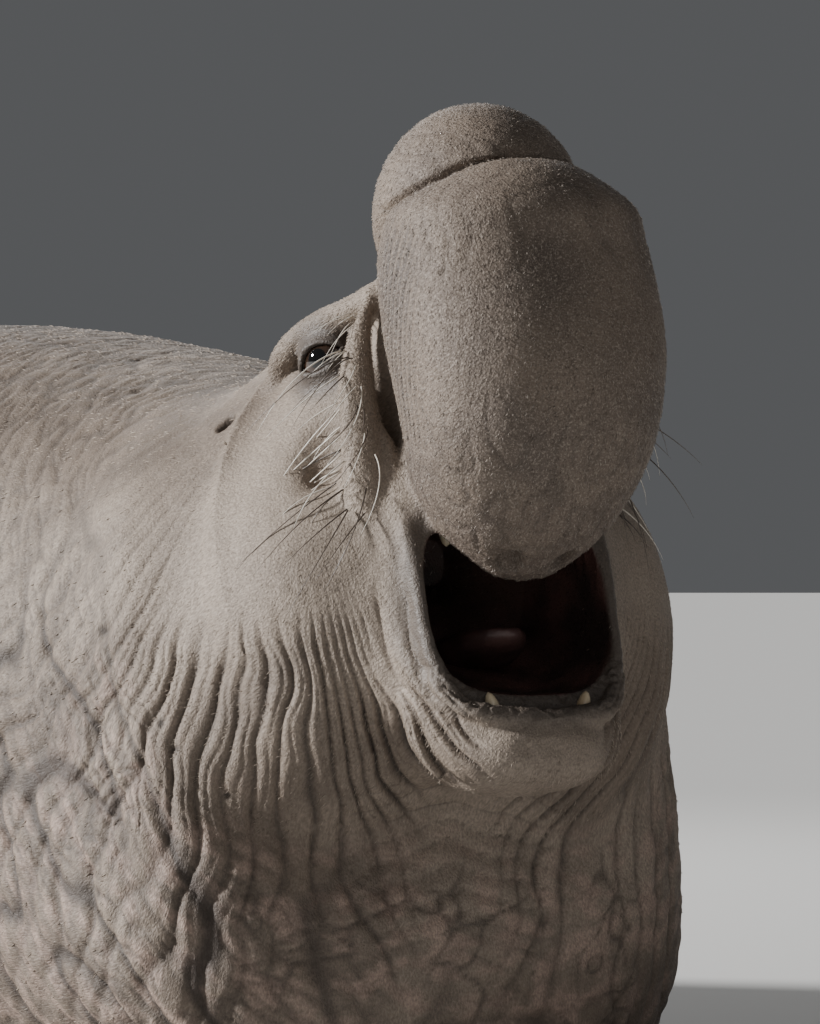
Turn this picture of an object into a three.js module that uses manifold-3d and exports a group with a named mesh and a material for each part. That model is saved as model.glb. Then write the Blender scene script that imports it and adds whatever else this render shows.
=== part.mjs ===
// A bull northern elephant seal, life size: lying on its chest with the head raised, the mouth wide open
// and the inflated nose hanging in front of it.
// Millimetres. +Z up, the floor at z = 0, the tail towards +Y, the seal's own left side towards +X.
import * as THREE from "three";
import { mergeVertices } from "three/addons/utils/BufferGeometryUtils.js";
import Module from "manifold-3d";

const wasm = await Module();
wasm.setup();

const GAP = 0.3; // between touching pieces
const FLOOR_CUT = 4000; // side of the block that trims what lies on the floor
const SIDES = [-1, 1]; // the seal's right side, then its left side

// Trunk, from the skull's base to the tail's root. Each station is one slanting section:
// its highest and lowest points as [y, z], the x of its middle, its half width and its turn about z in degrees.
const TRUNK = [
  { top: [150, 885], bottom: [-70, 440], x: -98, halfWidth: 245, yaw: -12 },
  { top: [285, 866], bottom: [-45, 345], x: -90, halfWidth: 338, yaw: -11 },
  { top: [430, 880], bottom: [-60, 200], x: -75, halfWidth: 376, yaw: -9 },
  { top: [610, 910], bottom: [20, 5], x: -48, halfWidth: 428, yaw: -6 },
  { top: [850, 942], bottom: [330, -16], x: -18, halfWidth: 480, yaw: -2 },
  { top: [1150, 955], bottom: [820, -22], x: 0, halfWidth: 520, yaw: 0 },
  { top: [1570, 930], bottom: [1450, -22], x: 0, halfWidth: 535, yaw: 0 },
  { top: [2050, 850], bottom: [2030, -20], x: 0, halfWidth: 500, yaw: 0 },
  { top: [2500, 695], bottom: [2520, -14], x: 0, halfWidth: 405, yaw: 0 },
  { top: [2900, 520], bottom: [2940, -8], x: 0, halfWidth: 300, yaw: 0 },
  { top: [3220, 375], bottom: [3260, 8], x: 0, halfWidth: 215, yaw: 0 },
  { top: [3420, 290], bottom: [3450, 40], x: 0, halfWidth: 148, yaw: 0 },
  { top: [3530, 225], bottom: [3550, 80], x: 0, halfWidth: 86, yaw: 0 },
  { top: [3570, 180], bottom: [3580, 120], x: 0, halfWidth: 34, yaw: 0 },
];
const TRUNK_STEPS = 2; // rings from one station to the next
const TRUNK_SIDES = 34;
const WIDEST_AT = 0.43; // height of the widest line, as a share of the section
const BACK_POWER = 2.25; // roundness of the section above and below that line: 2 is an ellipse
const BELLY_POWER = 3.1;

// Where the trunk is parted, each a point on the midline and the slope of the cut in degrees.
const NECK_CUT = { y: 545, z: 470, slope: 30 };
const CHEST_CUT = { y: 1330, z: 470, slope: 8 };
const HIP_CUT = { y: 2380, z: 350, slope: 0 };

// The head stands over this point, turned towards the seal's right. Its own frame has -y forward.
const HEAD_X = -95;
const HEAD_YAW = -13;
const HEAD_CUT = { y: 130, z: 640, slope: 31, onHead: true };
const JAW_CUT = { y: -180, z: 664, slope: -33, onHead: true };

// Face with the jaws apart, from the chin back to the neck: y, lowest and highest z, half width.
const FACE = [
  { y: -304, low: 430, high: 456, wide: 20 },
  { y: -295, low: 414, high: 466, wide: 56 },
  { y: -266, low: 398, high: 488, wide: 92 },
  { y: -226, low: 387, high: 580, wide: 121 },
  { y: -180, low: 384, high: 745, wide: 137 },
  { y: -120, low: 388, high: 895, wide: 148 },
  { y: -40, low: 404, high: 928, wide: 174 },
  { y: 50, low: 440, high: 900, wide: 210 },
  { y: 150, low: 480, high: 858, wide: 236 },
];
const FACE_POWER = 2.5;

// Rounded masses of the head: centre, half sizes, tilt about x and turn about z in degrees, for the left side.
const SKULL = { at: [0, 85, 800], half: [172, 225, 138], tilt: 8 };
const JOWL = { at: [152, 60, 545], half: [154, 205, 245], tilt: 8 };
const LIP = { at: [112, -106, 798], half: [44, 52, 116], tilt: 4 };
const BROW = { at: [128, 4, 914], half: [32, 94, 27], tilt: -24, turn: -17 };
const EYE_SOCKET = { at: [172, -2, 896], half: [38, 58, 32], tilt: -26, turn: -14 };
const HOLLOW = { at: [178, -62, 806], half: [28, 28, 64], tilt: 4 };
const EAR_HOLE = { at: [212, 128, 815], half: [34, 9, 9], tilt: 0 };

// Open mouth, from ahead of the lips to the throat: y, height of its middle, half width and half height.
const MOUTH = [
  { y: -420, z: 612, wide: 124, high: 112 },
  { y: -270, z: 608, wide: 114, high: 106 },
  { y: -200, z: 609, wide: 112, high: 103 },
  { y: -110, z: 622, wide: 98, high: 90 },
  { y: -20, z: 642, wide: 68, high: 60 },
  { y: 60, z: 650, wide: 34, high: 28 },
];
const MOUTH_POWER = 3.2;
const TONGUE = { at: [0, -78, 546], half: [56, 112, 30], tilt: -14 };

// Front lobe of the nose, from its tip up: height, y of its middle, half width and half depth.
const LOBE = [
  { z: 633, y: -222, wide: 22, deep: 18 },
  { z: 648, y: -223, wide: 52, deep: 44 },
  { z: 672, y: -224, wide: 82, deep: 68 },
  { z: 701, y: -226, wide: 108, deep: 90 },
  { z: 747, y: -231, wide: 132, deep: 114 },
  { z: 800, y: -242, wide: 144, deep: 129 },
  { z: 864, y: -238, wide: 154, deep: 141 },
  { z: 911, y: -227, wide: 159, deep: 147 },
  { z: 970, y: -209, wide: 158, deep: 145 },
  { z: 1017, y: -198, wide: 152, deep: 139 },
  { z: 1057, y: -199, wide: 140, deep: 128 },
  { z: 1087, y: -210, wide: 98, deep: 90 },
  { z: 1117, y: -213, wide: 40, deep: 38 },
];
const LOBE_POWER = 2.3;
const DOME = { at: [-4, -116, 1050], half: [122, 128, 132], tilt: 0 };
const NOSTRIL = { at: [34, -262, 648], half: [16, 24, 40], tilt: -20 };

const EYE_AT = [135, 10, 885];
const EYE_RADIUS = 32;
const LID_RADIUS = 33; // of the rim round the eye
const LID_THICK = 8;
const LID_REACH = 11; // of the rim outside the eye's middle
const LID_TURN = 70; // from facing forward to facing sideways, degrees

// Canine teeth: where the gum holds the root, which way the crown leans, its length and root radius.
const LOWER_CANINE = { at: [52, -262, 470], lean: [0.28, -0.16, 1], length: 38, radius: 11 };
const UPPER_CANINE = { at: [56, -140, 716], lean: [0.12, -0.1, -1], length: 46, radius: 13 };
const TOOTH_SINK = 26; // length of the root inside the gum

// Fore flipper of the left side: the shoulder, the palm and five digits from the leading edge back.
const SHOULDER = [400, 930, 250];
const WRIST = [600, 1075, 74];
const ARM_HALF = [128, 96];
const WRIST_HALF = [118, 50];
const HEEL_OF_HAND = [596, 1000, 50];
const HEEL_HALF = [108, 44];
const KNUCKLES = [706, 1330, 22];
const KNUCKLES_HALF = [112, 26];
const PALM = [664, 1170, 30];
const DIGITS = 5;
const DIGIT_ROOT_SPAN = 160; // across the palm, where the digits start
const DIGIT_TIP_SPAN = 232;
const DIGIT_LENGTHS = [405, 396, 370, 332, 284];
const DIGIT_HALF = [38, 22];
const DIGIT_TIP_HALF = [27, 12];
const FLIPPER_TURN = 17; // of the palm's line, from straight back towards the outside, degrees
const NAIL_LENGTH = 46;
const NAIL_RADIUS = 9;

// Hind flipper of the left side: an ankle and a fan of five digits, the outer two longest.
const ANKLE = [92, 3290, 142];
const HEEL = [128, 3450, 116];
const ANKLE_HALF = [92, 78];
const HEEL_HALF_HIND = [76, 40];
const HIND_TURN = 15;
const HIND_LEAN = 42; // of the fan from upright, degrees
const HIND_LENGTHS = [560, 500, 462, 500, 575];
const HIND_ROOT_SPAN = 112;
const HIND_TIP_SPAN = 292;
const HIND_HALF = [34, 25];
const HIND_TIP_HALF = [30, 11];
const WEB_HALF = 8;
const WEB_REACH = 0.92; // share of the digits' length that the web fills

const TAIL = { root: [0, 3480, 158], tip: [0, 3690, 118], half: [62, 40], tipHalf: [24, 12] };

const COLORS = { hide: "#6b5d51", nose: "#594c43", chest: "#7d6a5e", flipper: "#4c423b", mouth: "#8a5a55", eye: "#0c0a09", tooth: "#d8cbaa" };
const ROUGH = { hide: 0.72, wet: 0.35, tooth: 0.4, eye: 0.08 };

const rad = THREE.MathUtils.degToRad;
const vec = (p) => new THREE.Vector3(p[0], p[1], p[2]);

// A smooth value between stations: t counts stations, and the curve passes through each.
function spline(values, t) {
  const last = values.length - 1;
  const i = Math.min(Math.floor(t), last - 1);
  const f = t - i;
  const [a, b, c, d] = [i - 1, i, i + 1, i + 2].map((k) => values[Math.max(0, Math.min(last, k))]);
  return 0.5 * (2 * b + (c - a) * f + (2 * a - 5 * b + 4 * c - d) * f * f + (3 * b - a - 3 * c + d) * f ** 3);
}

// A point of a rounded section, at an angle: half sizes and the power that squares its shoulders.
function sectionPoint(angle, halfAcross, halfUp, power) {
  const c = Math.cos(angle);
  const s = Math.sin(angle);
  return [
    halfAcross * Math.sign(c) * Math.abs(c) ** (2 / power),
    halfUp * Math.sign(s) * Math.abs(s) ** (2 / power),
  ];
}

// A closed solid through rings of points, with a fan at each end.
function skinRings(rings) {
  const count = rings[0].length;
  const points = rings.flat();
  const faces = [];
  for (let r = 0; r < rings.length - 1; r++) {
    for (let k = 0; k < count; k++) {
      const a = r * count + k;
      const b = r * count + ((k + 1) % count);
      faces.push([a, b, b + count], [a, b + count, a + count]);
    }
  }
  for (const end of [0, rings.length - 1]) {
    const middle = new THREE.Vector3();
    rings[end].forEach((p) => middle.addScaledVector(p, 1 / count));
    const hub = points.push(middle) - 1;
    for (let k = 0; k < count; k++) {
      const a = end * count + k;
      const b = end * count + ((k + 1) % count);
      faces.push(end ? [hub, a, b] : [hub, b, a]);
    }
  }
  return toSolid(points, faces);
}

function toSolid(points, faces) {
  const geometry = new THREE.BufferGeometry().setFromPoints(points);
  geometry.setIndex(faces.flat());
  return solidOf(geometry);
}

// Any closed geometry as a solid whose faces point outwards.
function solidOf(source) {
  const geometry = source.clone();
  geometry.deleteAttribute("normal");
  geometry.deleteAttribute("uv");
  const merged = mergeVertices(geometry, 1e-3);
  const vertProperties = new Float32Array(merged.attributes.position.array);
  const triVerts = new Uint32Array(merged.index.array);
  const made = (verts) => new wasm.Manifold(new wasm.Mesh({ numProp: 3, vertProperties, triVerts: verts }));
  const solid = made(triVerts);
  if (solid.volume() > 0) return solid;
  for (let i = 0; i < triVerts.length; i += 3) {
    [triVerts[i + 1], triVerts[i + 2]] = [triVerts[i + 2], triVerts[i + 1]];
  }
  return made(triVerts);
}

function join(solids) {
  return solids.reduce((all, next) => all.add(next));
}

function largest(solid) {
  return solid.decompose().reduce((best, next) => (next.volume() > best.volume() ? next : best));
}

// An ellipsoid, made larger all round by grow.
function mass({ at, half, tilt, turn = 0 }, side = 1, grow = 0) {
  const around = Math.max(...half) > 118 ? 18 : 12;
  const geometry = new THREE.SphereGeometry(1, around, around - 4);
  geometry.scale(half[0] + grow, half[1] + grow, half[2] + grow);
  geometry.rotateX(rad(tilt));
  geometry.rotateZ(side * rad(turn));
  geometry.translate(side * at[0], at[1], at[2]);
  return solidOf(geometry);
}

// One section of the trunk at station t.
function trunkRing(t, grow) {
  const pick = (read) => spline(TRUNK.map(read), t);
  const top = new THREE.Vector3(0, pick((s) => s.top[0]), pick((s) => s.top[1]) + grow);
  const bottom = new THREE.Vector3(0, pick((s) => s.bottom[0]), pick((s) => s.bottom[1]) - grow);
  const middle = bottom.clone().lerp(top, WIDEST_AT);
  const turn = new THREE.Matrix4().makeRotationZ(rad(pick((s) => s.yaw)));
  const halfWidth = pick((s) => s.halfWidth) + grow;
  const x = pick((s) => s.x);
  return Array.from({ length: TRUNK_SIDES }, (_, k) => {
    const angle = (2 * Math.PI * k) / TRUNK_SIDES;
    const above = Math.sin(angle) >= 0;
    const [across, up] = sectionPoint(angle, halfWidth, 1, above ? BACK_POWER : BELLY_POWER);
    const end = above ? top : bottom;
    const p = middle.clone().lerp(end, Math.abs(up));
    p.y -= middle.y;
    p.x = across;
    p.applyMatrix4(turn);
    return p.add(new THREE.Vector3(x, middle.y, 0));
  });
}

function trunk(grow = 0) {
  const count = (TRUNK.length - 1) * TRUNK_STEPS + 1;
  const rings = Array.from({ length: count }, (_, i) => trunkRing(i / TRUNK_STEPS, grow));
  rings.at(-1).forEach((point) => (point.y += grow));
  return skinRings(rings);
}

// A solid through sections along one axis of the head; place turns an angle into a point of one section.
function stack(stations, steps, count, place) {
  const rings = [];
  for (let i = 0; i <= (stations.length - 1) * steps; i++) {
    const pick = (name) => spline(stations.map((s) => s[name]), i / steps);
    rings.push(Array.from({ length: count }, (_, k) => place(pick, (2 * Math.PI * k) / count)));
  }
  return skinRings(rings);
}

function lobe() {
  return stack(LOBE, 2, 26, (pick, angle) => {
    const [x, y] = sectionPoint(angle, pick("wide"), pick("deep"), LOBE_POWER);
    return new THREE.Vector3(x, pick("y") + y, pick("z"));
  });
}

function mouth() {
  const cavity = stack(MOUTH, 2, 24, (pick, angle) => {
    const [x, z] = sectionPoint(angle, pick("wide"), pick("high"), MOUTH_POWER);
    return new THREE.Vector3(x, pick("y"), pick("z") + z);
  });
  return placeHead(cavity);
}

function pair(shape, grow = 0) {
  return SIDES.map((side) => mass(shape, side, grow));
}

// The head's flesh before its openings are cut.
function face(grow = 0) {
  const jaws = stack(FACE, 2, 24, (pick, angle) => {
    const high = (pick("high") - pick("low")) / 2 + grow;
    const [x, z] = sectionPoint(angle, pick("wide") + grow, high, FACE_POWER);
    return new THREE.Vector3(x, pick("y"), pick("low") + high - grow + z);
  });
  const sides = [JOWL, LIP, BROW].flatMap((shape) => pair(shape, grow));
  return placeHead(join([jaws, mass(SKULL, 1, grow), ...sides]));
}

// The big nose, from its rear dome down to the lobe's tip, less what the head fills.
function proboscis() {
  const nose = placeHead(lobe().add(mass(DOME)).subtract(join(pair(NOSTRIL))));
  return largest(nose.subtract(face(GAP)));
}

// From the head's own frame into the seal's.
function placeHead(solid) {
  return solid.rotate([0, 0, HEAD_YAW]).translate([HEAD_X, 0, 0]);
}

// Parts a solid at a slanting cut into what is ahead of it and what is behind, with a gap between.
function partAt(solid, cut) {
  const normal = new THREE.Vector3(0, -Math.cos(rad(cut.slope)), Math.sin(rad(cut.slope)));
  const point = new THREE.Vector3(0, cut.y, cut.z);
  if (cut.onHead) {
    const turn = new THREE.Matrix4().makeRotationZ(rad(HEAD_YAW));
    normal.applyMatrix4(turn);
    point.applyMatrix4(turn).x += HEAD_X;
  }
  const offset = normal.dot(point);
  const ahead = solid.trimByPlane(normal.toArray(), offset + GAP / 2);
  const behind = solid.trimByPlane(normal.negate().toArray(), GAP / 2 - offset);
  return [largest(ahead), largest(behind)];
}

function aboveFloor(solid) {
  return solid.trimByPlane([0, 0, 1], 0);
}

function eyeball(side, grow = 0) {
  const geometry = new THREE.SphereGeometry(EYE_RADIUS + grow, 14, 10);
  geometry.rotateZ(Math.PI / 2);
  geometry.translate(side * EYE_AT[0], EYE_AT[1], EYE_AT[2]);
  return placeHead(solidOf(geometry));
}

function lidRim(side) {
  const geometry = new THREE.TorusGeometry(LID_RADIUS, LID_THICK, 6, 18);
  geometry.scale(1, 0.86, 1);
  geometry.rotateZ(side * rad(24));
  geometry.rotateX(rad(90));
  geometry.rotateZ(side * rad(LID_TURN));
  geometry.translate(side * (EYE_AT[0] + LID_REACH), EYE_AT[1] - 4, EYE_AT[2]);
  return placeHead(solidOf(geometry));
}

// A tapering rod of oval section from one point to another, rounded at both ends.
function taper(from, to, half, tipHalf, flat, count = 8, steps = 4) {
  const axis = vec(to).sub(vec(from));
  const across = flat.clone().addScaledVector(axis, -flat.dot(axis) / axis.lengthSq()).normalize();
  const up = across.clone().cross(axis).normalize();
  const rings = [];
  for (let i = 0; i <= steps; i++) {
    const t = i / steps;
    const round = Math.sqrt(Math.max(0.05, 1 - Math.abs(2 * t - 1) ** 5));
    const centre = vec(from).addScaledVector(axis, t);
    rings.push(
      Array.from({ length: count }, (_, k) => {
        const angle = (2 * Math.PI * k) / count;
        const a = round * THREE.MathUtils.lerp(half[0], tipHalf[0], t) * Math.cos(angle);
        const b = round * THREE.MathUtils.lerp(half[1], tipHalf[1], t) * Math.sin(angle);
        return centre.clone().addScaledVector(across, a).addScaledVector(up, b);
      }),
    );
  }
  return skinRings(rings);
}

function canine({ at, lean, length, radius }, side, grow = 0) {
  const axis = new THREE.Vector3(side * lean[0], lean[1], lean[2]).normalize();
  const across = new THREE.Vector3(1, 0, 0).cross(axis).normalize();
  const other = axis.clone().cross(across);
  const root = new THREE.Vector3(side * at[0], at[1], at[2]).addScaledVector(axis, -TOOTH_SINK);
  const rings = [];
  for (const [along, wide] of [[0, 0.8], [0.3, 1], [0.55, 0.96], [0.78, 0.74], [0.93, 0.44], [1, 0.16]]) {
    const centre = root.clone().addScaledVector(axis, along * (length + TOOTH_SINK) + grow * (along * 2 - 1));
    rings.push(
      Array.from({ length: 12 }, (_, k) => {
        const angle = (2 * Math.PI * k) / 12;
        const r = radius * wide + grow;
        return centre
          .clone()
          .addScaledVector(across, r * Math.cos(angle))
          .addScaledVector(other, r * Math.sin(angle));
      }),
    );
  }
  return placeHead(skinRings(rings));
}

// Five digits from a line across the root to a longer line of tips, each digit of its own length.
function digitLines(root, turn, lean, rootSpan, tipSpan, lengths) {
  const along = new THREE.Vector3(Math.sin(rad(turn)), Math.cos(rad(turn)), 0);
  const out = new THREE.Vector3(Math.cos(rad(turn)), -Math.sin(rad(turn)), 0);
  const across = out.multiplyScalar(Math.sin(rad(lean))).add(new THREE.Vector3(0, 0, Math.cos(rad(lean))));
  return lengths.map((length, k) => {
    const place = 0.5 - k / (DIGITS - 1);
    const from = vec(root).addScaledVector(across, place * rootSpan);
    const to = vec(root).addScaledVector(across, place * tipSpan).addScaledVector(along, length);
    return { from, to, across };
  });
}

function foreFlipper(side) {
  const lines = digitLines(PALM, FLIPPER_TURN, 90, DIGIT_ROOT_SPAN, DIGIT_TIP_SPAN, DIGIT_LENGTHS);
  const level = new THREE.Vector3(1, 0, 0);
  const pieces = [
    taper(SHOULDER, WRIST, ARM_HALF, WRIST_HALF, new THREE.Vector3(0, 1, 0), 12, 5),
    taper(HEEL_OF_HAND, KNUCKLES, HEEL_HALF, KNUCKLES_HALF, level, 12, 5),
  ];
  for (const { from, to } of lines) {
    to.z = DIGIT_TIP_HALF[1] - 3;
    from.z = DIGIT_HALF[1] + 8;
    pieces.push(taper(from.toArray(), to.toArray(), DIGIT_HALF, DIGIT_TIP_HALF, level));
    const ahead = to.clone().sub(from).normalize();
    const nailRoot = to.clone().addScaledVector(ahead, -NAIL_LENGTH * 0.7);
    nailRoot.z += DIGIT_TIP_HALF[1];
    const nailTip = to.clone().addScaledVector(ahead, NAIL_LENGTH * 0.42);
    nailTip.z += 1;
    pieces.push(
      taper(nailRoot.toArray(), nailTip.toArray(), [NAIL_RADIUS, NAIL_RADIUS], [4, 4], level, 6, 3),
    );
  }
  const whole = join(pieces);
  return side > 0 ? whole : whole.mirror([1, 0, 0]);
}

function hindFlipper(side) {
  const lines = digitLines(HEEL, HIND_TURN, HIND_LEAN, HIND_ROOT_SPAN, HIND_TIP_SPAN, HIND_LENGTHS);
  const across = lines[0].across;
  const shortest = Math.min(...HIND_LENGTHS);
  const webEnd = lines[2].from.clone().lerp(lines[2].to, WEB_REACH);
  const pieces = [
    taper(ANKLE, HEEL, ANKLE_HALF, HEEL_HALF_HIND, across, 12, 4),
    taper(
      lines[2].from.toArray(),
      webEnd.toArray(),
      [HIND_ROOT_SPAN * 0.66, 26],
      [HIND_TIP_SPAN * 0.44 * (shortest / HIND_LENGTHS[0]), WEB_HALF],
      across,
      12,
      5,
    ),
  ];
  for (const { from, to } of lines) {
    pieces.push(taper(from.toArray(), to.toArray(), HIND_HALF, HIND_TIP_HALF, across));
  }
  const whole = aboveFloor(join(pieces));
  return side > 0 ? whole : whole.mirror([1, 0, 0]);
}

function tail(grow = 0) {
  const [half, tipHalf] = [TAIL.half, TAIL.tipHalf].map((sizes) => sizes.map((size) => size + grow));
  return taper(TAIL.root, TAIL.tip, half, tipHalf, new THREE.Vector3(1, 0, 0), 14, 6);
}

function mesh(name, solid, color, roughness) {
  const data = solid.getMesh();
  const geometry = new THREE.BufferGeometry();
  geometry.setAttribute("position", new THREE.BufferAttribute(data.vertProperties, 3));
  geometry.setIndex(new THREE.BufferAttribute(data.triVerts, 1));
  const material = new THREE.MeshStandardMaterial({ color, roughness, metalness: 0 });
  const made = new THREE.Mesh(geometry, material);
  made.name = name;
  return made;
}

// Everything below is in the seal's own frame.
const eyeHoles = join(SIDES.map((side) => eyeball(side, GAP)));
const pits = placeHead(join([EYE_SOCKET, HOLLOW, EAR_HOLE].flatMap((shape) => pair(shape))));
const toothHoles = join(
  SIDES.flatMap((side) => [canine(LOWER_CANINE, side, GAP), canine(UPPER_CANINE, side, GAP)]),
);
const tongue = placeHead(mass(TONGUE));
const tongueHole = placeHead(mass(TONGUE, 1, GAP));

// Head, neck and trunk are modelled whole, then parted with thin cuts.
const flesh = aboveFloor(trunk().add(face()))
  .subtract(join([mouth(), pits]))
  .add(join(SIDES.map(lidRim)))
  .subtract(join([eyeHoles, toothHoles, tongueHole]));
const [headWithJaw, behindHead] = partAt(flesh, HEAD_CUT);
const [lowerJaw, head] = partAt(headWithJaw, JAW_CUT);
const [neck, behindNeck] = partAt(behindHead, NECK_CUT);
const [chest, behindChest] = partAt(behindNeck, CHEST_CUT);
const [torso, hindquarters] = partAt(behindChest, HIP_CUT);

const roomForTrunk = trunk(GAP);
const tailPiece = tail().subtract(roomForTrunk);
const named = [
  ["head", head, COLORS.hide, ROUGH.hide],
  ["proboscis", proboscis(), COLORS.nose, ROUGH.hide],
  ["lower_jaw", lowerJaw, COLORS.hide, ROUGH.hide],
  ["tongue", tongue, COLORS.mouth, ROUGH.wet],
  ["neck", neck, COLORS.chest, ROUGH.hide],
  ["chest", chest, COLORS.chest, ROUGH.hide],
  ["torso", torso, COLORS.hide, ROUGH.hide],
  ["hindquarters", hindquarters, COLORS.hide, ROUGH.hide],
  ["tail", largest(tailPiece), COLORS.flipper, ROUGH.hide],
];
for (const side of SIDES) {
  const which = side < 0 ? "right" : "left";
  const fore = aboveFloor(foreFlipper(side)).subtract(roomForTrunk);
  const hind = aboveFloor(hindFlipper(side)).subtract(roomForTrunk).subtract(tail(GAP));
  named.push(
    [`eye_${which}`, eyeball(side), COLORS.eye, ROUGH.eye],
    [`canine_lower_${which}`, canine(LOWER_CANINE, side), COLORS.tooth, ROUGH.tooth],
    [`canine_upper_${which}`, canine(UPPER_CANINE, side), COLORS.tooth, ROUGH.tooth],
    [`fore_flipper_${which}`, largest(fore), COLORS.flipper, ROUGH.hide],
    [`hind_flipper_${which}`, largest(hind), COLORS.flipper, ROUGH.hide],
  );
}

const group = new THREE.Group();
for (const [name, solid, color, roughness] of named) group.add(mesh(name, solid, color, roughness));

// The origin is the middle of the footprint, on the floor.
const box = new THREE.Box3().setFromObject(group);
const middle = box.getCenter(new THREE.Vector3());
group.position.set(-middle.x, -middle.y, -box.min.z);

export default group;
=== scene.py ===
"""A bull northern elephant seal, life size, lying on its chest with its head raised and its mouth open."""
import math

import bmesh
import bpy
import numpy as np
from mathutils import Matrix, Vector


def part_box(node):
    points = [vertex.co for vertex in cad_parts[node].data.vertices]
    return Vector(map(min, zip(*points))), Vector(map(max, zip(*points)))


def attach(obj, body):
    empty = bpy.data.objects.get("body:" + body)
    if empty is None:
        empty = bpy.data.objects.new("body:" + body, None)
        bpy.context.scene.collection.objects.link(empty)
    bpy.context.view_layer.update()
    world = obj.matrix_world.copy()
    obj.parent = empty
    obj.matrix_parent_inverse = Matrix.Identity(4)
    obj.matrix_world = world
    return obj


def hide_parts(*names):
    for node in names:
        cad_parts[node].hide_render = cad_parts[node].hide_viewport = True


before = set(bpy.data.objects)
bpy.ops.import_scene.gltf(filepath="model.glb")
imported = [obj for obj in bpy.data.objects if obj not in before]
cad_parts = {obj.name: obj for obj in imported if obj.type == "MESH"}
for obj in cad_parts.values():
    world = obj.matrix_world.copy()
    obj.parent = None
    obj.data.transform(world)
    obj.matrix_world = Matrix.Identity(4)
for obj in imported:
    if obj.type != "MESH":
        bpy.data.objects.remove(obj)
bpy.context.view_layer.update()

import openvdb
from mathutils import Vector

# Shapes are worked out in millimetres, in the frame in which the animal was drawn: the floor at z = 0,
# the tail towards +y and the seal's own left towards +x. Meshes are in metres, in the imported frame.
MM = 0.001

# Mesh size of the skin. The neck and chest are divided once more, the head twice and the eyes thrice.
SKIN_STEP = 10.0
FINE_UP_TO_Y = 1150
HEAD_UP_TO_Y = 140
EYE_REACH = 62
FLOOR_CLEARANCE = 0.4

# Trunk sections, as in the CAD source: highest and lowest point as y and z, then x, half width and turn.
TRUNK = np.array([
    [150, 885, -70, 440, -98, 245, -12],
    [285, 866, -45, 345, -90, 338, -11],
    [430, 880, -60, 200, -75, 376, -9],
    [610, 910, 20, 5, -48, 428, -6],
    [850, 942, 330, -16, -18, 480, -2],
    [1150, 955, 820, -22, 0, 520, 0],
    [1570, 930, 1450, -22, 0, 535, 0],
    [2050, 850, 2030, -20, 0, 500, 0],
    [2500, 695, 2520, -14, 0, 405, 0],
    [2900, 520, 2940, -8, 0, 300, 0],
    [3220, 375, 3260, 8, 0, 215, 0],
    [3420, 290, 3450, 40, 0, 148, 0],
    [3530, 225, 3550, 80, 0, 86, 0],
    [3570, 180, 3580, 120, 0, 34, 0],
], dtype=float)
WIDEST_AT = 0.43
BACK_POWER = 2.25
BELLY_POWER = 3.1

HEAD_X = -95.0
HEAD_YAW = math.radians(-13)

# Face with the jaws apart, from the chin back: y, lowest and highest z, half width.
FACE = np.array([
    [-304, 430, 456, 20],
    [-295, 414, 466, 56],
    [-266, 398, 488, 92],
    [-226, 387, 580, 121],
    [-180, 384, 745, 137],
    [-120, 388, 895, 148],
    [-40, 404, 928, 174],
    [50, 440, 900, 210],
    [150, 480, 858, 236],
], dtype=float)
FACE_POWER = 2.5
# Open mouth, from ahead of the lips to the throat: y, height of its middle, half width and half height.
MOUTH = np.array([
    [-420, 612, 124, 112],
    [-270, 608, 114, 106],
    [-200, 609, 112, 103],
    [-110, 622, 98, 90],
    [-20, 642, 68, 60],
    [60, 650, 34, 28],
], dtype=float)
MOUTH_POWER = 3.2

# Hanging lobe of the nose, from its tip up: z, y of its middle, half width and half depth.
LOBE = np.array([
    [632, -222, 8, 8],
    [640, -222, 38, 32],
    [672, -224, 80, 66],
    [701, -226, 106, 88],
    [747, -231, 131, 112],
    [800, -243, 144, 128],
    [864, -238, 154, 140],
    [911, -227, 158, 146],
    [970, -209, 157, 144],
    [1017, -198, 151, 138],
    [1057, -199, 138, 127],
    [1087, -210, 96, 88],
    [1107, -213, 58, 54],
    [1115, -214, 18, 18],
], dtype=float)
LOBE_POWER = 2.3

EYE_AT = np.array([135.0, 10.0, 885.0])
EYE_RADIUS = 32.0


def spline(values, t):
    """Catmull-Rom through the rows of values at the station numbers t."""
    last = len(values) - 1
    i = np.minimum(np.floor(t).astype(int), last - 1)
    f = (t - i)[:, None] if values.ndim > 1 else t - i
    a, b, c, d = (values[np.clip(i + k, 0, last)] for k in (-1, 0, 1, 2))
    return 0.5 * (2 * b + (c - a) * f + (2 * a - 5 * b + 4 * c - d) * f**2 + (3 * b - a - 3 * c + d) * f**3)


def smoothstep(low, high, x):
    s = np.clip((x - low) / (high - low), 0, 1)
    return s * s * (3 - 2 * s)


def smooth_min(a, b, blend):
    h = np.maximum(blend - np.abs(a - b), 0) / blend
    return np.minimum(a, b) - h * h * blend / 4


def smooth_max(a, b, blend):
    return -smooth_min(-a, -b, blend)


def to_head(p):
    """Points of the seal's frame in the head's own frame, where -y is forward."""
    c, s = math.cos(-HEAD_YAW), math.sin(-HEAD_YAW)
    x, y = p[:, 0] - HEAD_X, p[:, 1]
    return np.stack([c * x - s * y, s * x + c * y, p[:, 2]], axis=1)


def from_head(q):
    c, s = math.cos(HEAD_YAW), math.sin(HEAD_YAW)
    x, y = q[:, 0], q[:, 1]
    return np.stack([c * x - s * y + HEAD_X, s * x + c * y, q[:, 2]], axis=1)


# Solid noise on a seeded lattice.
RNG = np.random.default_rng(7)
SHUFFLE = np.tile(RNG.permutation(256), 2)
SLOPES = RNG.normal(size=(256, 3))
SLOPES /= np.linalg.norm(SLOPES, axis=1)[:, None]


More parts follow.
